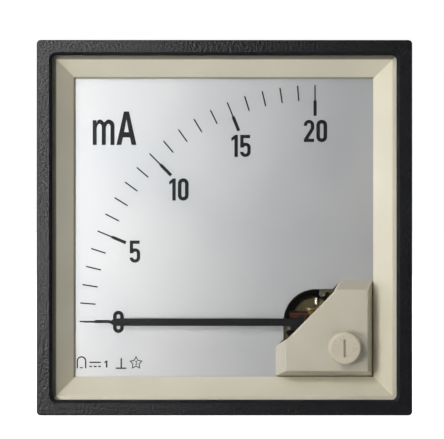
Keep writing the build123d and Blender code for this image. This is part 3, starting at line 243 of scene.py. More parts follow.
# brass turned on a lathe: yellow, with fine tool rings that spread the highlight
turnedBrass = metal("brass_turned", {
    "dark": "#a8853f", "light": "#c9a659", "roughness": 0.34,
    "marks": 0.12, "stretch": (1.0, 6.0, 1.0), "clouds": 2.5, "bump": 0.3, "depth": 0.01})

# phosphor bronze strip rolled for hairsprings: orange and bright
springBronze = metal("bronze_rolled_bright", {
    "dark": "#b8652a", "light": "#d98a45", "roughness": 0.26,
    "marks": 0.1, "stretch": (1.0, 4.0, 1.0), "clouds": 1.5, "bump": 0.2, "depth": 0.006})

# nickel plate on brass hardware: warm silver with soft wipes
nickelPlate = metal("nickel_plated", {
    "dark": "#b3ada0", "light": "#cdc8bc", "roughness": 0.27,
    "marks": 0.25, "stretch": (1.0, 3.0, 1.0), "clouds": 4.0, "bump": 0.2, "depth": 0.01})

# zinc plate on pressed and turned steel: cool silver, cloudy
zincSteel = metal("steel_zinc_plated", {
    "dark": "#9a9fa3", "light": "#bcc1c6", "roughness": 0.36,
    "marks": 0.3, "stretch": (1.0, 1.0, 5.0), "clouds": 3.5, "bump": 0.25, "depth": 0.012})

# soft iron ring: turned and varnished, a dull olive gold
softIron = metal("iron_turned_varnished", {
    "dark": "#7b6c4f", "light": "#978766", "roughness": 0.5,
    "marks": 0.2, "stretch": (1.0, 7.0, 1.0), "clouds": 4.0, "bump": 0.3, "depth": 0.012})

# cast and ground magnet alloy under a yellowed varnish: olive brown with small pores
groundMagnet = metal("magnet_alloy_varnished", {
    "dark": "#50472f", "light": "#716745", "roughness": 0.55, "metallic": 0.35,
    "marks": 0.35, "stretch": (1.0, 1.0, 1.0), "clouds": 2.0, "bump": 0.5, "depth": 0.03})

# thin aluminium sheet of the balance cross: bright with rolling lines
rolledAluminium = metal("aluminium_rolled", {
    "dark": "#b9babb", "light": "#d3d4d5", "roughness": 0.3,
    "marks": 0.15, "stretch": (5.0, 1.0, 1.0), "clouds": 3.0, "bump": 0.2, "depth": 0.008})

# the former's sheet is lacquered for insulation: a dark blue green that still looks metallic
lacqueredFormer = metal("aluminium_lacquered_dark", {
    "dark": "#1d3138", "light": "#2a444c", "roughness": 0.34,
    "marks": 0.15, "stretch": (5.0, 1.0, 1.0), "clouds": 3.0, "bump": 0.2, "depth": 0.008})

# soft solder: grey, slightly domed and dull where the flux has dried
softSolder = metal("solder_soft_dull", {
    "dark": "#a8a592", "light": "#d2cfb8", "roughness": 0.4,
    "marks": 0.2, "stretch": (1.0, 1.0, 1.0), "clouds": 0.8, "bump": 0.4, "depth": 0.02})


def silveredDial():
    # aluminium sheet with a blasted and lacquered silver face: satin, nearly white, with a
    # broad soft highlight that fades across the dial
    look = {"colours": ((0.35, "#bcbec3"), (0.65, "#c4c5c8")), "patches": 22.0, "grit": 0.28,
            "smoothest": 0.48, "roughest": 0.54, "metallic": 0.85, "bump": 0.12, "depth": 0.006}
    material, tree = newMaterial("aluminium_silvered_satin")
    place = addNode(tree, "TexCoord").outputs["Object"]
    grit = addNode(tree, "TexNoise", inputs={
        "Vector": place, "Scale": 1 / (look["grit"] * mm), "Detail": 2.0})
    patches = addNode(tree, "TexNoise", inputs={
        "Vector": place, "Scale": 1 / (look["patches"] * mm), "Detail": 1.0})
    colour = addNode(tree, "ValToRGB", inputs={"Fac": patches.outputs["Fac"]},
                     stops=look["colours"])
    rough = addNode(tree, "MapRange", inputs={
        "Value": grit.outputs["Fac"], "From Min": noiseLow, "From Max": noiseHigh,
        "To Min": look["smoothest"], "To Max": look["roughest"]})
    bump = addNode(tree, "Bump", inputs={
        "Strength": look["bump"], "Distance": look["depth"] * mm,
        "Height": grit.outputs["Fac"]})
    shader = addNode(tree, "BsdfPrincipled", inputs={
        "Base Color": colour.outputs["Color"], "Metallic": look["metallic"],
        "Roughness": rough.outputs["Result"], "Normal": bump.outputs["Normal"]})
    addNode(tree, "OutputMaterial", inputs={"Surface": shader.outputs["BSDF"]})
    return material


def clearPane():
    # drawn window glass: clear with hardly a tint, its faces polished; lamps shine through it
    # by the light path, because a refracting pane would otherwise shade the dial
    look = {"tint": "#fdfdfc", "shadow": "#fafbfa", "smears": 25.0, "haze": 0.02, "ior": 1.5}
    material, tree = newMaterial("glass_drawn_clear")
    place = addNode(tree, "TexCoord").outputs["Object"]
    smears = addNode(tree, "TexNoise", inputs={
        "Vector": place, "Scale": 1 / (look["smears"] * mm), "Detail": 2.0})
    rough = addNode(tree, "MapRange", inputs={
        "Value": smears.outputs["Fac"], "From Min": noiseLow, "From Max": noiseHigh,
        "To Min": 0.0, "To Max": look["haze"]})
    pane = addNode(tree, "BsdfPrincipled", inputs={
        "Base Color": srgb(look["tint"]), "Roughness": rough.outputs["Result"],
        "Transmission Weight": 1.0, "IOR": look["ior"]})
    through = addNode(tree, "BsdfTransparent", inputs={"Color": srgb(look["shadow"])})
    path = addNode(tree, "LightPath")
    skipped = addNode(tree, "Math", {"operation": "MAXIMUM"}, {
        0: path.outputs["Is Shadow Ray"], 1: path.outputs["Is Diffuse Ray"]})
    shader = addNode(tree, "MixShader", inputs={
        0: skipped.outputs["Value"], 1: pane.outputs["BSDF"], 2: through.outputs["BSDF"]})
    addNode(tree, "OutputMaterial", inputs={"Surface": shader.outputs["Shader"]})
    return material


def blackFilm(name, look):
    # a thin black coat that dried a little uneven: matt, with hardly any highlight
    look = {"density": 0.6, "mottle": 0.05, "specular": 0.25, "bump": 0.2, "depth": 0.01, **look}
    material, tree = newMaterial(name)
    place = addNode(tree, "TexCoord").outputs["Object"]
    density = addNode(tree, "TexNoise", inputs={
        "Vector": place, "Scale": 1 / (look["density"] * mm), "Detail": 3.0})
    colour = addNode(tree, "ValToRGB", inputs={"Fac": density.outputs["Fac"]}, stops=[
        (noiseLow, look["dark"]), (noiseHigh, look["light"])])
    rough = addNode(tree, "MapRange", inputs={
        "Value": density.outputs["Fac"], "From Min": noiseLow, "From Max": noiseHigh,
        "To Min": look["roughness"] - look["mottle"],
        "To Max": look["roughness"] + look["mottle"]})
    bump = addNode(tree, "Bump", inputs={
        "Strength": look["bump"], "Distance": look["depth"] * mm,
        "Height": density.outputs["Fac"]})
    shader = addNode(tree, "BsdfPrincipled", inputs={
        "Base Color": colour.outputs["Color"], "Roughness": rough.outputs["Result"],
        "Specular IOR Level": look["specular"], "Normal": bump.outputs["Normal"]})
    addNode(tree, "OutputMaterial", inputs={"Surface": shader.outputs["BSDF"]})
    return material


def enamelledCopper():
    # fine copper wire in layers, coated with brown enamel: close ridges round the coil, drawn
    # six times as far apart as the wire's 0.12 mm so that they show
    look = {"ridges": 0.12 * math.tau, "colours": ((0.2, "#3d211a"), (0.8, "#74422c")),
            "uneven": 0.6,
            "roughest": 0.45, "smoothest": 0.3, "metallic": 0.6, "bump": 0.6, "depth": 0.05}
    waveFactor = 20 / math.tau  # a wave texture of scale 1 has this many bands to a metre
    material, tree = newMaterial("copper_wire_enamelled")
    place = addNode(tree, "TexCoord").outputs["Object"]
    ridges = addNode(tree, "TexWave", {"bands_direction": "Z"}, {
        "Vector": place, "Scale": 1 / (waveFactor * look["ridges"] * mm),
        "Distortion": look["uneven"], "Detail": 1.0, "Detail Scale": 1.0})
    colour = addNode(tree, "ValToRGB", inputs={"Fac": ridges.outputs["Fac"]},
                     stops=look["colours"])
    rough = addNode(tree, "MapRange", inputs={
        "Value": ridges.outputs["Fac"], "To Min": look["roughest"],
        "To Max": look["smoothest"]})
    bump = addNode(tree, "Bump", inputs={
        "Strength": look["bump"], "Distance": look["depth"] * mm,
        "Height": ridges.outputs["Fac"]})
    shader = addNode(tree, "BsdfPrincipled", inputs={
        "Base Color": colour.outputs["Color"], "Metallic": look["metallic"],
        "Roughness": rough.outputs["Result"], "Normal": bump.outputs["Normal"]})
    addNode(tree, "OutputMaterial", inputs={"Surface": shader.outputs["BSDF"]})
    return material


dialFace = silveredDial()
windowPane = clearPane()
windingWire = enamelledCopper()

# screen-printed ink: a dense black, a little glossier than the pointer
printInk = blackFilm("ink_black_screen_printed", {
    "dark": "#0b0d0f", "light": "#121416", "roughness": 0.37})

# lacquer sprayed on the aluminium pointer: black and matt
pointerLacquer = blackFilm("lacquer_black_sprayed", {
    "dark": "#0c0d10", "light": "#131418", "roughness": 0.43})

nodeFinish = {
    "bezel": blackMoulding, "rear_case": blackMoulding, "window_glass": windowPane,
    "mask_frame": creamMoulding, "pivot_cover": creamCover, "zero_adjuster": creamButton,
    "dial_plate": dialFace, "pointer": pointerLacquer, "movement_chassis": chassisMoulding,
    "yoke_ring": softIron, "core_magnet": groundMagnet, "core_spacers": turnedBrass,
    "front_pillars": turnedBrass, "rear_pillars": turnedBrass, "front_bridge": turnedBrass,
    "rear_bridge": turnedBrass, "bridge_screws": zincSteel, "front_jewel_screw": turnedBrass,
    "rear_jewel_screw": turnedBrass, "front_lock_nut": nickelPlate,
    "rear_lock_nut": nickelPlate, "zero_lever": turnedBrass, "rear_spring_arm": turnedBrass,
    "front_hairspring": springBronze, "rear_hairspring": springBronze,
    "front_spindle": zincSteel, "rear_spindle": zincSteel, "pointer_stops": zincSteel,
    "balance_cross": rolledAluminium, "balance_weights": nickelPlate,
    "coil_former": lacqueredFormer, "coil_winding": windingWire,
    "terminal_studs": nickelPlate, "terminal_nuts": nickelPlate,
    "terminal_inner_nuts": nickelPlate, "terminal_washers": nickelPlate,
    "terminal_tags": nickelPlate, "case_screws": zincSteel, "resistor_board": boardLaminate,
    "resistors": resistorLacquer, "hookup_wires": wireVinyl,
    "clamp_bracket_left": zincSteel, "clamp_bracket_right": zincSteel,
    "clamp_foot_left": zincSteel, "clamp_foot_right": zincSteel,
    "clamp_screw_left": zincSteel, "clamp_screw_right": zincSteel,
}
for nodeName, finish in nodeFinish.items():
    for materialSlot in nodes[nodeName].material_slots:
        materialSlot.material = finish
print("stage: materials on", len(nodeFinish), "nodes")


# the print on the dial: a thin film of ink that stands on the dial's face

printing = {"thickness": 0.03, "sunk": 0.01, "arcSteps": 6}
filmMiddleY = (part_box("dial_plate")[0].y
               - (printing["thickness"] / 2 - printing["sunk"]) * mm)


def roundedSpline(curve, corners):
    # a closed outline through corners of (x, y, radius) with true arcs at its corners
    count = len(corners)
    bezier = []
    for i, (x, y, radius) in enumerate(corners):
        here = Vector((x, y, 0))
        toPrevious = (Vector((*corners[i - 1][:2], 0)) - here).normalized()
        toNext = (Vector((*corners[(i + 1) % count][:2], 0)) - here).normalized()
        if radius == 0:
            bezier.append((here, here, here))
            continue
        inside = toPrevious.angle(toNext)
        setBack = radius / math.tan(inside / 2)
        handle = 4 / 3 * math.tan((math.pi - inside) / 4) * radius
        reach = setBack - handle
        first, last = here + toPrevious * setBack, here + toNext * setBack
        bezier.append((first, first, here + toPrevious * reach))
        bezier.append((last, here + toNext * reach, last))
    spline = curve.splines.new("BEZIER")
    spline.bezier_points.add(len(bezier) - 1)
    for point, (place, left, right) in zip(spline.bezier_points, bezier):
        point.handle_left_type = point.handle_right_type = "FREE"
        point.co = place * mm
        point.handle_left = left * mm
        point.handle_right = right * mm
    spline.use_cyclic_u = True


def printedMesh(name, outlines):
    # flat filled outlines become a film of ink in front of the dial
    curve = bpy.data.curves.new(name, "CURVE")
    curve.dimensions = "2D"
    curve.fill_mode = "BOTH"
    curve.resolution_u = printing["arcSteps"]
    curve.extrude = printing["thickness"] / 2 * mm
    for corners in outlines:
        roundedSpline(curve, corners)
    holder = bpy.data.objects.new(name + "Curve", curve)
    bpy.context.scene.collection.objects.link(holder)
    bpy.context.view_layer.update()
    mesh = bpy.data.meshes.new_from_object(holder)
    bpy.data.objects.remove(holder)
    upright = Matrix.Rotation(math.pi / 2, 4, "X")
    mesh.transform(Matrix.Translation((0, filmMiddleY, 0)) @ upright)
    bm = bmesh.new()
    bm.from_mesh(mesh)
    bpy.data.meshes.remove(mesh)
    return meshFrom(bm, name)


def moved(outlines, dx, dy, scale=1.0):
    return [[(x * scale + dx, y * scale + dy, r * scale) for x, y, r in corners]
            for corners in outlines]


def bar(x0, y0, x1, y1):
    return [(x0, y0, 0), (x1, y0, 0), (x1, y1, 0), (x0, y1, 0)]


# narrow figures, 5.9 mm high with strokes just under 1 mm, each drawn about its middle with
# corners of (x, y, radius) in mm
figures = {
    "0": [[(-1.43, -2.96, 1.43), (1.43, -2.96, 1.43),
           (1.43, 2.96, 1.43), (-1.43, 2.96, 1.43)],
          [(-0.46, -1.98, 0.46), (0.46, -1.98, 0.46),
           (0.46, 1.98, 0.46), (-0.46, 1.98, 0.46)]],
    "1": [[(-0.05, -2.925, 0), (0.87, -2.925, 0), (0.87, 2.925, 0.1), (0.12, 2.925, 0.1),
           (-0.87, 2.1, 0.1), (-0.87, 1.25, 0.1), (-0.05, 1.75, 0)]],
    "2": [[(-1.38, -2.925, 0), (1.34, -2.925, 0), (1.34, -2.05, 0), (-0.2, -2.05, 0),
           (1.38, 0.5, 1.5), (1.38, 2.925, 1.38), (-1.38, 2.925, 1.38), (-1.38, 1.35, 0),
           (-0.5, 1.35, 0), (-0.5, 2.04, 0.5), (0.48, 2.04, 0.48), (0.48, 0.75, 0.8),
           (-1.38, -2.2, 0)]],
    "3": [[(-1.4, -1.5, 0), (-1.4, -2.925, 1.35), (1.4, -2.925, 1.35), (1.4, 0.3, 0.9),
           (0.9, 0.1, 0.2), (1.4, -0.1, 0.5), (1.4, 2.925, 1.35), (-1.4, 2.925, 1.35),
           (-1.4, 1.5, 0), (-0.5, 1.5, 0), (-0.5, 2.04, 0.5), (0.5, 2.04, 0.5),
           (0.5, 0.5, 0.4), (-0.4, 0.5, 0), (-0.4, -0.4, 0), (0.5, -0.4, 0.4), (0.5, -2.04, 0.5),
           (-0.5, -2.04, 0.5), (-0.5, -1.5, 0)]],
    "5": [[(-1.4, -1.55, 0), (-1.4, -2.925, 1.35), (1.4, -2.925, 1.35), (1.4, 0.85, 1.25),
           (-0.48, 0.85, 0), (-0.48, 2.05, 0), (1.25, 2.05, 0), (1.25, 2.925, 0),
           (-1.36, 2.925, 0), (-1.36, -0.45, 0), (-0.5, -0.45, 0.1), (-0.2, 0.0, 0.4),
           (0.5, 0.0, 0.45), (0.5, -2.04, 0.5), (-0.5, -2.04, 0.5), (-0.5, -1.55, 0)]],
}
figureWidth = {"0": 2.8, "1": 1.74, "2": 2.76, "5": 2.8}
figureGap = 0.58


def scaleTicks():
    # the scale is drawn out a little past its middle, as one marked from a standard is
    look = {"pivotX": 24.25, "pivotZ": -24.8, "outer": 62.4, "inner": 58.35,
            "majorInner": 54.3, "fine": 0.36, "heavy": 0.84, "steps": 20, "majorEvery": 5,
            "sweep": 89.76, "bow": 6.0}
    pivot = Matrix.Translation((look["pivotX"] * mm, 0, look["pivotZ"] * mm))
    bm = bmesh.new()
    for step in range(look["steps"] + 1):
        strokes = [(look["inner"], look["outer"], look["fine"])]
        if step % look["majorEvery"] == 0:
            strokes.append((look["majorInner"], look["inner"], look["heavy"]))
        share = step / look["steps"]
        angle = math.radians(look["sweep"] * share + look["bow"] * share ** 3 * (1 - share))
        turn = Matrix.Rotation(angle, 4, "Y")
        for inner, outer, width in strokes:
            size = Matrix.Diagonal(((outer - inner) * mm, printing["thickness"] * mm,
                                    width * mm, 1))
            place = Matrix.Translation((-(outer + inner) / 2 * mm, filmMiddleY, 0))
            bmesh.ops.create_cube(bm, size=1, matrix=pivot @ turn @ place @ size)
    return meshFrom(bm, "scaleTicks")


def scaleNumerals():
    places = [("0", -27.9, -24.9), ("5", -23.55, -6.35), ("10", -11.95, 10.05),
              ("15", 4.45, 21.55), ("20", 24.1, 25.5)]
    outlines = []
    for text, x, z in places:
        width = sum(figureWidth[c] for c in text) + figureGap * (len(text) - 1)
        left = x - width / 2
        for character in text:
            middle = left + figureWidth[character] / 2
            outlines += moved(figures[character], middle, z)
            left += figureWidth[character] + figureGap
    return printedMesh("scaleNumerals", outlines)


def unitLettering():
    # the small m with its two arches, and the tall A
    look = {"left": -34.7, "base": 21.8, "apart": 6.35}
    smallM = [[(0, 0, 0), (1.08, 0, 0), (1.08, 4.6, 0), (1.5, 5.6, 0.6), (2.35, 5.6, 0.7),
               (2.4, 4.6, 0), (2.4, 0, 0), (3.48, 0, 0), (3.48, 4.6, 0), (3.9, 5.6, 0.6),
               (4.65, 5.6, 0.7), (4.7, 4.6, 0), (4.7, 0, 0), (5.78, 0, 0), (5.78, 6.72, 1.6),
               (3.7, 6.72, 1.0), (3.0, 5.7, 0.3), (2.6, 6.72, 1.0), (1.2, 6.72, 0.9),
               (1.02, 5.75, 0), (1.0, 6.55, 0), (0, 6.55, 0)]]
    tallA = [[(-0.08, 0, 0), (1.22, 0, 0), (1.66, 1.98, 0), (3.48, 1.98, 0), (3.92, 0, 0),
              (5.22, 0, 0), (3.24, 8.86, 0), (1.9, 8.86, 0)],
             [(1.96, 3.4, 0), (3.18, 3.4, 0), (2.57, 6.75, 0)]]
    return printedMesh("unitLettering",
                       moved(smallM, look["left"], look["base"])
                       + moved(tallA, look["left"] + look["apart"], look["base"]))


def dialSymbols():
    look = {"line": 0.36, "shoeMiddle": -37.65, "shoeTop": -33.95, "shoeFoot": -37.15,
            "shoeHalf": 1.28, "starX": -23.25, "starY": -35.75, "starRadii": (1.88, 1.37),
            "starWaist": 0.52, "figureScale": 0.2, "figureDrop": 0.02}
    left, right = look["shoeMiddle"] - look["shoeHalf"], look["shoeMiddle"] + look["shoeHalf"]
    top, foot, line = look["shoeTop"], look["shoeFoot"], look["line"]
    outerBend, innerBend = look["shoeHalf"], look["shoeHalf"] - line
    outlines = [
        # the bar between the feet of the moving coil's horseshoe
        bar(-38.1, -37.15, -37.3, -36.85),
        # direct current: a line over three dashes
        bar(-35.55, -35.75, -32.55, -35.4),
        bar(-35.55, -36.85, -34.85, -36.5),
        bar(-34.4, -36.85, -33.65, -36.5),
        bar(-33.25, -36.85, -32.55, -36.5),
        # accuracy class 1
        [(-31.2, -36.95, 0), (-30.8, -36.95, 0), (-30.8, -35.1, 0), (-31.1, -35.1, 0),
         (-31.6, -35.45, 0), (-31.6, -35.8, 0), (-31.2, -35.6, 0)],
        # upright use: a stem on its foot
        bar(-27.35, -37.0, -26.97, -34.45),
        bar(-28.6, -37.3, -25.8, -36.94),
        # the horseshoe
        [(left, foot, 0), (left, top, outerBend), (right, top, outerBend), (right, foot, 0),
         (right - line, foot, 0), (right - line, top - line, innerBend),
         (left + line, top - line, innerBend), (left + line, foot, 0)],
    ]
    # the star of the voltage test, as two outlines with a figure in it
    for radius in look["starRadii"]:
        points = []
        for corner in range(10):
            reach = radius if corner % 2 == 0 else radius * look["starWaist"]
            angle = math.radians(90 + 36 * corner)
            points.append((look["starX"] + reach * math.cos(angle),
                           look["starY"] + reach * math.sin(angle), 0))
        outlines.append(points)
    outlines += moved(figures["3"], look["starX"], look["starY"] - look["figureDrop"],
                      look["figureScale"])
    return printedMesh("dialSymbols", outlines)


for name, build in (("scaleTicks", scaleTicks), ("scaleNumerals", scaleNumerals),
                    ("unitLettering", unitLettering), ("dialSymbols", dialSymbols)):
    newPiece(name, build(), printInk, "housing")
print("stage: dial printed")


# threaded hardware at the rear and on the clamps

def addShape(bm, shape, place):
    # moves a finished shape to its place and joins it to the piece
    bmesh.ops.recalc_face_normals(shape, faces=shape.faces)
    bmesh.ops.transform(shape, matrix=place, verts=shape.verts)
    mesh = bpy.data.meshes.new("shape")
    shape.to_mesh(mesh)
    shape.free()
    bm.from_mesh(mesh)
    bpy.data.meshes.remove(mesh)


# the V of every thread, as shares of its pitch
thread = {"depth": 0.6, "crestStart": 0.42, "crestEnd": 0.54, "rootStart": 0.96}


def threadedRod(bm, look, place):
    # a V thread swept along its helix, trimmed flat at both ends, with a lead-in chamfer
    start, end, radius, pitch = look["start"], look["end"], look["radius"], look["pitch"]
    root = radius - thread["depth"] * pitch
    turns = math.ceil((end - start) / pitch) + 2
    profile = [(root, 0), (radius, thread["crestStart"]), (radius, thread["crestEnd"]),
               (root, thread["rootStart"]), (root, 1)]
    rod = bmesh.new()
    corners = [rod.verts.new((r * mm, (start - pitch + share * pitch) * mm, 0))
               for r, share in profile]
    edges = [rod.edges.new(pair) for pair in zip(corners, corners[1:])]
    bmesh.ops.spin(rod, geom=corners + edges, cent=(0, 0, 0), axis=(0, 1, 0),
                   dvec=(0, pitch / look["steps"] * mm, 0), angle=math.tau * turns,
                   steps=look["steps"] * turns, use_merge=False)
    bmesh.ops.remove_doubles(rod, verts=rod.verts, dist=near["threadWeld"])
    ends = ((start, -1), (end, 1))
    for y, side in ends:
        bmesh.ops.bisect_plane(
            rod, geom=rod.verts[:] + rod.edges[:] + rod.faces[:], dist=near["cut"],
            plane_co=(0, y * mm, 0), plane_no=(0, side, 0), clear_outer=True)
    bmesh.ops.holes_fill(rod, edges=[e for e in rod.edges if e.is_boundary], sides=0)
    for vert in rod.verts:
        for y, side in ends:
            toEnd = (y * mm - vert.co.y) * side
            most = (radius - look["chamfer"]) * mm + toEnd
            reach = math.hypot(vert.co.x, vert.co.z)
            if reach > most:
                vert.co.x *= most / reach
                vert.co.z *= most / reach
    addShape(bm, rod, place)


def terminalStuds():
    low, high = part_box("terminal_studs")
    look = {"start": low.y / mm, "end": high.y / mm, "radius": 2.0, "pitch": 0.7,
            "chamfer": 0.5, "steps": 24}
    bm = bmesh.new()
    for x in (low.x + look["radius"] * mm, high.x - look["radius"] * mm):
        threadedRod(bm, look, Matrix.Translation((x, 0, (low.z + high.z) / 2)))
    return meshFrom(bm, "terminalStuds")


def disc(radius, start, end):
    # a round slice along Y
    made = bmesh.new()
    bmesh.ops.create_cone(
        made, cap_ends=True, segments=40, radius1=radius * mm, radius2=radius * mm,
        depth=(end - start) * mm,
        matrix=Matrix.Translation((0, (start + end) / 2 * mm, 0))
        @ Matrix.Rotation(math.pi / 2, 4, "X"))
    return made


def slottedHead(bm, look, place):
    # two halves with the driver slot between them, and their outer edge rounded
    for side in (-1, 1):
        half = disc(look["radius"], look["end"] - look["slotDepth"] - look["sunk"], look["end"])
        bmesh.ops.bisect_plane(
            half, geom=half.verts[:] + half.edges[:] + half.faces[:], dist=near["cut"],
            plane_co=(0, 0, side * look["slot"] / 2 * mm), plane_no=(0, 0, side),
            clear_inner=True)
        bmesh.ops.holes_fill(half, edges=[e for e in half.edges if e.is_boundary], sides=0)
        rim = [edge for edge in half.edges if all(
            abs(vert.co.y - look["end"] * mm) < near["rim"]
            and math.hypot(vert.co.x, vert.co.z) > look["radius"] * mm - near["rim"]
            for vert in edge.verts)]
        bmesh.ops.bevel(half, geom=rim, offset=look["round"] * mm, segments=4, profile=0.5,
                        affect="EDGES", material=-1)
        addShape(bm, half, place)


def terminalNut(bm, look, place):
    # each ring is a circle pressed out to the hexagon as far as the cone of the chamfer lets
    # it, and the last rings line the bore
    half, bore, lead = look["flats"] / 2, look["bore"], look["lead"]
    start, end = look["start"], look["end"]
    cone = [(depth, half * look["face"] + depth * look["coneSlope"])
            for depth in look["coneDepths"]]
    rings = [(start + depth, reach) for depth, reach in cone]
    rings += [(end - depth, reach) for depth, reach in reversed(cone)]
    rings += [(end, bore + lead), (end - lead, bore), (start + lead, bore),
              (start, bore + lead)]
    nut = bmesh.new()
    loops = []
    for y, reach in rings:
        made = bmesh.ops.create_circle(
            nut, segments=48, radius=reach * mm,
            matrix=Matrix.Translation((0, y * mm, 0)) @ Matrix.Rotation(math.pi / 2, 4, "X"))
        for vert in made["verts"]:
            fromFlat = math.degrees(math.atan2(vert.co.z, vert.co.x)) % 60 - 30
            most = half / math.cos(math.radians(fromFlat))
            if reach > most:
                vert.co.x *= most / reach
                vert.co.z *= most / reach
        loops.append(list({edge for vert in made["verts"] for edge in vert.link_edges}))
    for first, second in zip(loops, loops[1:] + loops[:1]):
        bmesh.ops.bridge_loops(nut, edges=first + second)
    addShape(bm, nut, place)


def terminalNuts():
    low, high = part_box("terminal_nuts")
    look = {"flats": 7.0, "thickness": 3.2, "bore": 2.0, "lead": 0.25, "face": 0.95,
            "coneSlope": 1.73, "coneDepths": (0, 0.14, 0.28, 0.42), "fromMiddle": 16.0}
    bm = bmesh.new()
    for start in (low.y / mm, high.y / mm - look["thickness"]):
        for x in (-look["fromMiddle"], look["fromMiddle"]):
            terminalNut(bm, {**look, "start": start, "end": start + look["thickness"]},
                        Matrix.Translation((x * mm, 0, (low.z + high.z) / 2)))
    return meshFrom(bm, "terminalNuts")


def clampScrew(node):
    low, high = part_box(node)
    look = {"start": low.y / mm, "end": high.y / mm, "radius": 1.25, "pitch": 0.45,
            "chamfer": 0.2, "steps": 14, "slot": 0.8, "slotDepth": 1.0,
            "core": 0.97, "sunk": 0.1, "round": 0.15}
    place = Matrix.Translation(((low.x + high.x) / 2, 0, (low.z + high.z) / 2))
    bm = bmesh.new()
    threadedRod(bm, {**look, "end": look["end"] - look["slotDepth"]}, place)
    slottedHead(bm, {**look, "radius": look["core"]}, place)
    return meshFrom(bm, node)


def caseScrews():
    # each screw was stopped at its own angle
    low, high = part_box("case_screws")
    look = {"radius": 2.7, "headHeight": 1.9, "shank": 1.3, "end": high.y / mm,
            "slot": 0.7, "slotDepth": 1.0, "sunk": 0.0, "round": 0.85,
            "turn": 0.6, "turnAcross": 9.0, "turnUp": 5.0}
    foot = look["end"] - look["headHeight"]
    middle = look["end"] - look["slotDepth"]
    bm = bmesh.new()
    for x in (low.x + look["radius"] * mm, high.x - look["radius"] * mm):
        for z in (low.z + look["radius"] * mm, high.z - look["radius"] * mm):
            turn = look["turn"] + look["turnAcross"] * x + look["turnUp"] * z
            place = Matrix.Translation((x, 0, z)) @ Matrix.Rotation(turn, 4, "Y")
            slottedHead(bm, look, place)
            addShape(bm, disc(look["radius"], foot, middle), place)
            addShape(bm, disc(look["shank"], low.y / mm, foot), place)
    return meshFrom(bm, "caseScrews")


def adjusterButton():
    # the moulded button, with the small round at the rim of its head opened to a wide one
    look = {"x": 30.8, "z": -30.85, "radius": 4.2, "drawn": 0.25, "wide": 0.7, "near": 0.01,
            "sharp": 30, "facing": 0.999}
    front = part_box("zero_adjuster")[0].y / mm
    bm = bmesh.new()
    bm.from_mesh(nodes["zero_adjuster"].data)
    bmesh.ops.remove_doubles(bm, verts=bm.verts, dist=near["cut"])
    for vert in bm.verts:
        across, up = vert.co.x / mm - look["x"], vert.co.z / mm - look["z"]
        reach = math.hypot(across, up)
        outward = reach - (look["radius"] - look["drawn"])
        forward = front + look["drawn"] - vert.co.y / mm
        if min(outward, forward) > -look["near"]:
            angle = math.atan2(max(forward, 0), max(outward, 0))
            grown = (look["radius"] - look["wide"] * (1 - math.cos(angle))) / reach
            vert.co.x = (look["x"] + across * grown) * mm
            vert.co.z = (look["z"] + up * grown) * mm
            vert.co.y = (front + look["wide"] * (1 - math.sin(angle))) * mm
    mesh = meshFrom(bm, "adjusterButton", look["sharp"])
    for polygon in mesh.polygons:
        polygon.use_smooth = abs(polygon.normal.y) < look["facing"]
    return mesh


def solderBead():
    # where the spring's outer end is soldered to the lever's arm
    look = {"place": (22.1, 0.05, -21.2), "size": (0.5, 0.35, 0.45)}
    bm = bmesh.new()
    bmesh.ops.create_uvsphere(
        bm, u_segments=20, v_segments=12, radius=mm,
        matrix=Matrix.Translation([v * mm for v in look["place"]])
        @ Matrix.Diagonal((*look["size"], 1)))
    return meshFrom(bm, "solderBead")


newPiece("terminalStuds", terminalStuds(), nickelPlate, "housing",
         ["terminal_studs"])
newPiece("terminalNuts", terminalNuts(), nickelPlate, "housing",
         ["terminal_nuts"])
newPiece("caseScrews", caseScrews(), zincSteel, "housing", ["case_screws"])
newPiece("adjusterButton", adjusterButton(), creamButton, "adjuster",
         ["zero_adjuster"])
newPiece("solderBead", solderBead(), softSolder, "lever")
for side in ("left", "right"):
    newPiece(side + "ClampScrew", clampScrew("clamp_screw_" + side), zincSteel,
             side + "_screw", ["clamp_screw_" + side])
print("stage: threads cut")


# floor, light and camera

# how bright the room in front of the meter is, as its glass and its metal mirror it
roomInFront = 0.05


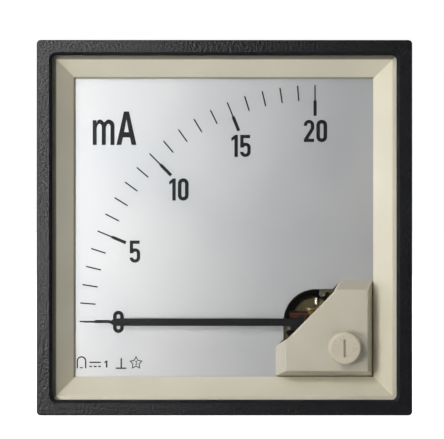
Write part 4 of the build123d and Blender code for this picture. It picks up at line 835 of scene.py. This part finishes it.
def paleFloor():
    # matt white paper: it stays white to the eye and keeps the shadow; in a reflection it is
    # as dim as the room in front of the meter, and white behind it
    look = {"size": 6.0, "fibresPerMm": 0.9, "dark": "#e9e9e8", "light": "#f1f1f0",
            "roughness": 0.9, "lift": 0.88, "dimTo": -0.02, "whiteFrom": 0.1}
    bm = bmesh.new()
    bmesh.ops.create_grid(bm, x_segments=1, y_segments=1, size=look["size"],
                          matrix=Matrix.Translation((0, 0, cadBox[0].z)))
    mesh = bpy.data.meshes.new("paleFloor")
    bm.to_mesh(mesh)
    bm.free()
    material, tree = newMaterial("paper_white_matt")
    place = addNode(tree, "TexCoord").outputs["Object"]
    fibre = addNode(tree, "TexNoise", inputs={
        "Vector": place, "Scale": look["fibresPerMm"] / mm, "Detail": 3.0})
    colour = addNode(tree, "ValToRGB", inputs={"Fac": fibre.outputs["Fac"]}, stops=[
        (noiseLow, look["dark"]), (noiseHigh, look["light"])])
    path = addNode(tree, "LightPath")
    lift = addNode(tree, "Math", {"operation": "MULTIPLY"}, {
        0: path.outputs["Is Camera Ray"], 1: look["lift"]})
    paper = addNode(tree, "BsdfPrincipled", inputs={
        "Base Color": colour.outputs["Color"], "Roughness": look["roughness"],
        "Emission Color": (1, 1, 1, 1), "Emission Strength": lift.outputs["Value"]})
    depth = addNode(tree, "SeparateXYZ", inputs={"Vector": place}).outputs["Y"]
    mirrored = addNode(tree, "MapRange", inputs={
        "Value": depth, "From Min": look["dimTo"], "From Max": look["whiteFrom"],
        "To Min": roomInFront, "To Max": 1.0})
    seen = addNode(tree, "Emission", inputs={
        "Color": (1, 1, 1, 1), "Strength": mirrored.outputs["Result"]})
    reflected = addNode(tree, "Math", {"operation": "MAXIMUM"}, {
        0: path.outputs["Is Glossy Ray"], 1: path.outputs["Is Transmission Ray"]})
    surface = addNode(tree, "MixShader", inputs={
        0: reflected.outputs["Value"], 1: paper.outputs["BSDF"], 2: seen.outputs["Emission"]})
    addNode(tree, "OutputMaterial", inputs={"Surface": surface.outputs["Shader"]})
    mesh.materials.append(material)
    floor = bpy.data.objects.new("paleFloor", mesh)
    bpy.context.scene.collection.objects.link(floor)


def studioWorld():
    # white wherever the eye looks past the meter; in reflections the room in front is dim
    look = {"ambient": 0.2, "dimTo": -0.1, "whiteFrom": 0.4}
    world = bpy.data.worlds.new("studio")
    world.use_nodes = True
    tree = world.node_tree
    tree.nodes.clear()
    path = addNode(tree, "LightPath")
    direction = addNode(tree, "TexCoord").outputs["Generated"]
    depth = addNode(tree, "SeparateXYZ", inputs={"Vector": direction}).outputs["Y"]
    reflected = addNode(tree, "MapRange", inputs={
        "Value": depth, "From Min": look["dimTo"], "From Max": look["whiteFrom"],
        "To Min": roomInFront, "To Max": 1.0})
    diffuse = addNode(tree, "Mix", inputs={
        "Factor": path.outputs["Is Diffuse Ray"], "A": reflected.outputs["Result"],
        "B": look["ambient"]})
    strength = addNode(tree, "Mix", inputs={
        "Factor": path.outputs["Is Camera Ray"], "A": diffuse.outputs["Result"], "B": 1.0})
    shine = addNode(tree, "Background", inputs={
        "Color": (1, 1, 1, 1), "Strength": strength.outputs["Result"]})
    addNode(tree, "OutputWorld", inputs={"Surface": shine.outputs["Background"]})
    bpy.context.scene.world = world


def addSoftbox(name, look):
    # a cloth screen, brightest in its middle and dark at its rim, so that its image in glass
    # has no hard edge
    peak = 4.24  # how much brighter the middle is than an even screen of the same watts
    lamp = bpy.data.lights.new(name, "AREA")
    lamp.shape = "RECTANGLE"
    lamp.size, lamp.size_y = look["width"], look["height"]
    lamp.energy = look["watts"]
    lamp.color = srgb(look["colour"])[:3]
    lamp.use_nodes = True
    tree = lamp.node_tree
    tree.nodes.clear()
    spot = addNode(tree, "NewGeometry").outputs["Parametric"]
    outward = addNode(tree, "VectorMath", {"operation": "DISTANCE"}, {
        0: spot, 1: (0.5, 0.5, 0.0)})
    glow = addNode(tree, "MapRange", {"interpolation_type": "SMOOTHSTEP"}, {
        "Value": outward.outputs["Value"], "From Min": 0.0, "From Max": 0.5,
        "To Min": peak, "To Max": 0.0})
    screen = addNode(tree, "Emission", inputs={"Strength": glow.outputs["Result"]})
    addNode(tree, "OutputLight", inputs={"Surface": screen.outputs["Emission"]})
    holder = bpy.data.objects.new(name, lamp)
    holder.location = look["place"]
    aim = Vector(look["target"]) - Vector(look["place"])
    holder.rotation_euler = aim.to_track_quat("-Z", "Y").to_euler()
    bpy.context.scene.collection.objects.link(holder)


def studioCamera():
    look = {"place": (-3.0, -295.5, 1.0), "lens": 92.1, "sensor": 36.0,
            "shift": (0.0208, 0.0096), "clipStart": 0.01, "clipEnd": 20.0}
    camera = bpy.data.cameras.new("front")
    camera.lens = look["lens"]
    camera.sensor_width = look["sensor"]
    camera.shift_x, camera.shift_y = look["shift"]
    camera.clip_start, camera.clip_end = look["clipStart"], look["clipEnd"]
    holder = bpy.data.objects.new("front", camera)
    holder.location = [value * mm for value in look["place"]]
    holder.rotation_euler = (math.pi / 2, 0, 0)
    bpy.context.scene.collection.objects.link(holder)
    bpy.context.scene.camera = holder


# sizes and places in metres
lamps = {
    "lampUpperLeft": {"width": 0.168, "height": 0.168, "watts": 0.52, "colour": "#fffefd",
                      "place": (-0.14, -0.25, 0.15), "target": (0, 0, 0)},
    "lampLeft": {"width": 0.1, "height": 0.134, "watts": 0.05, "colour": "#fffdfb",
                 "place": (-0.13, -0.2, 0.05), "target": (0, 0, 0)},
    "lampLowerLeft": {"width": 0.1, "height": 0.05, "watts": 0.22, "colour": "#fffdfb",
                      "place": (-0.125, -0.19, -0.028), "target": (0, 0, 0)},
    "lampBehind": {"width": 0.5, "height": 0.5, "watts": 2.4, "colour": "#ffffff",
                   "place": (0.3, 0.5, 0.35), "target": (0, 0.05, 0)},
}

paleFloor()
studioWorld()
for lampName, look in lamps.items():
    addSoftbox(lampName, look)
studioCamera()
bpy.context.scene.view_settings.view_transform = "Standard"

print("stage: stage lit")
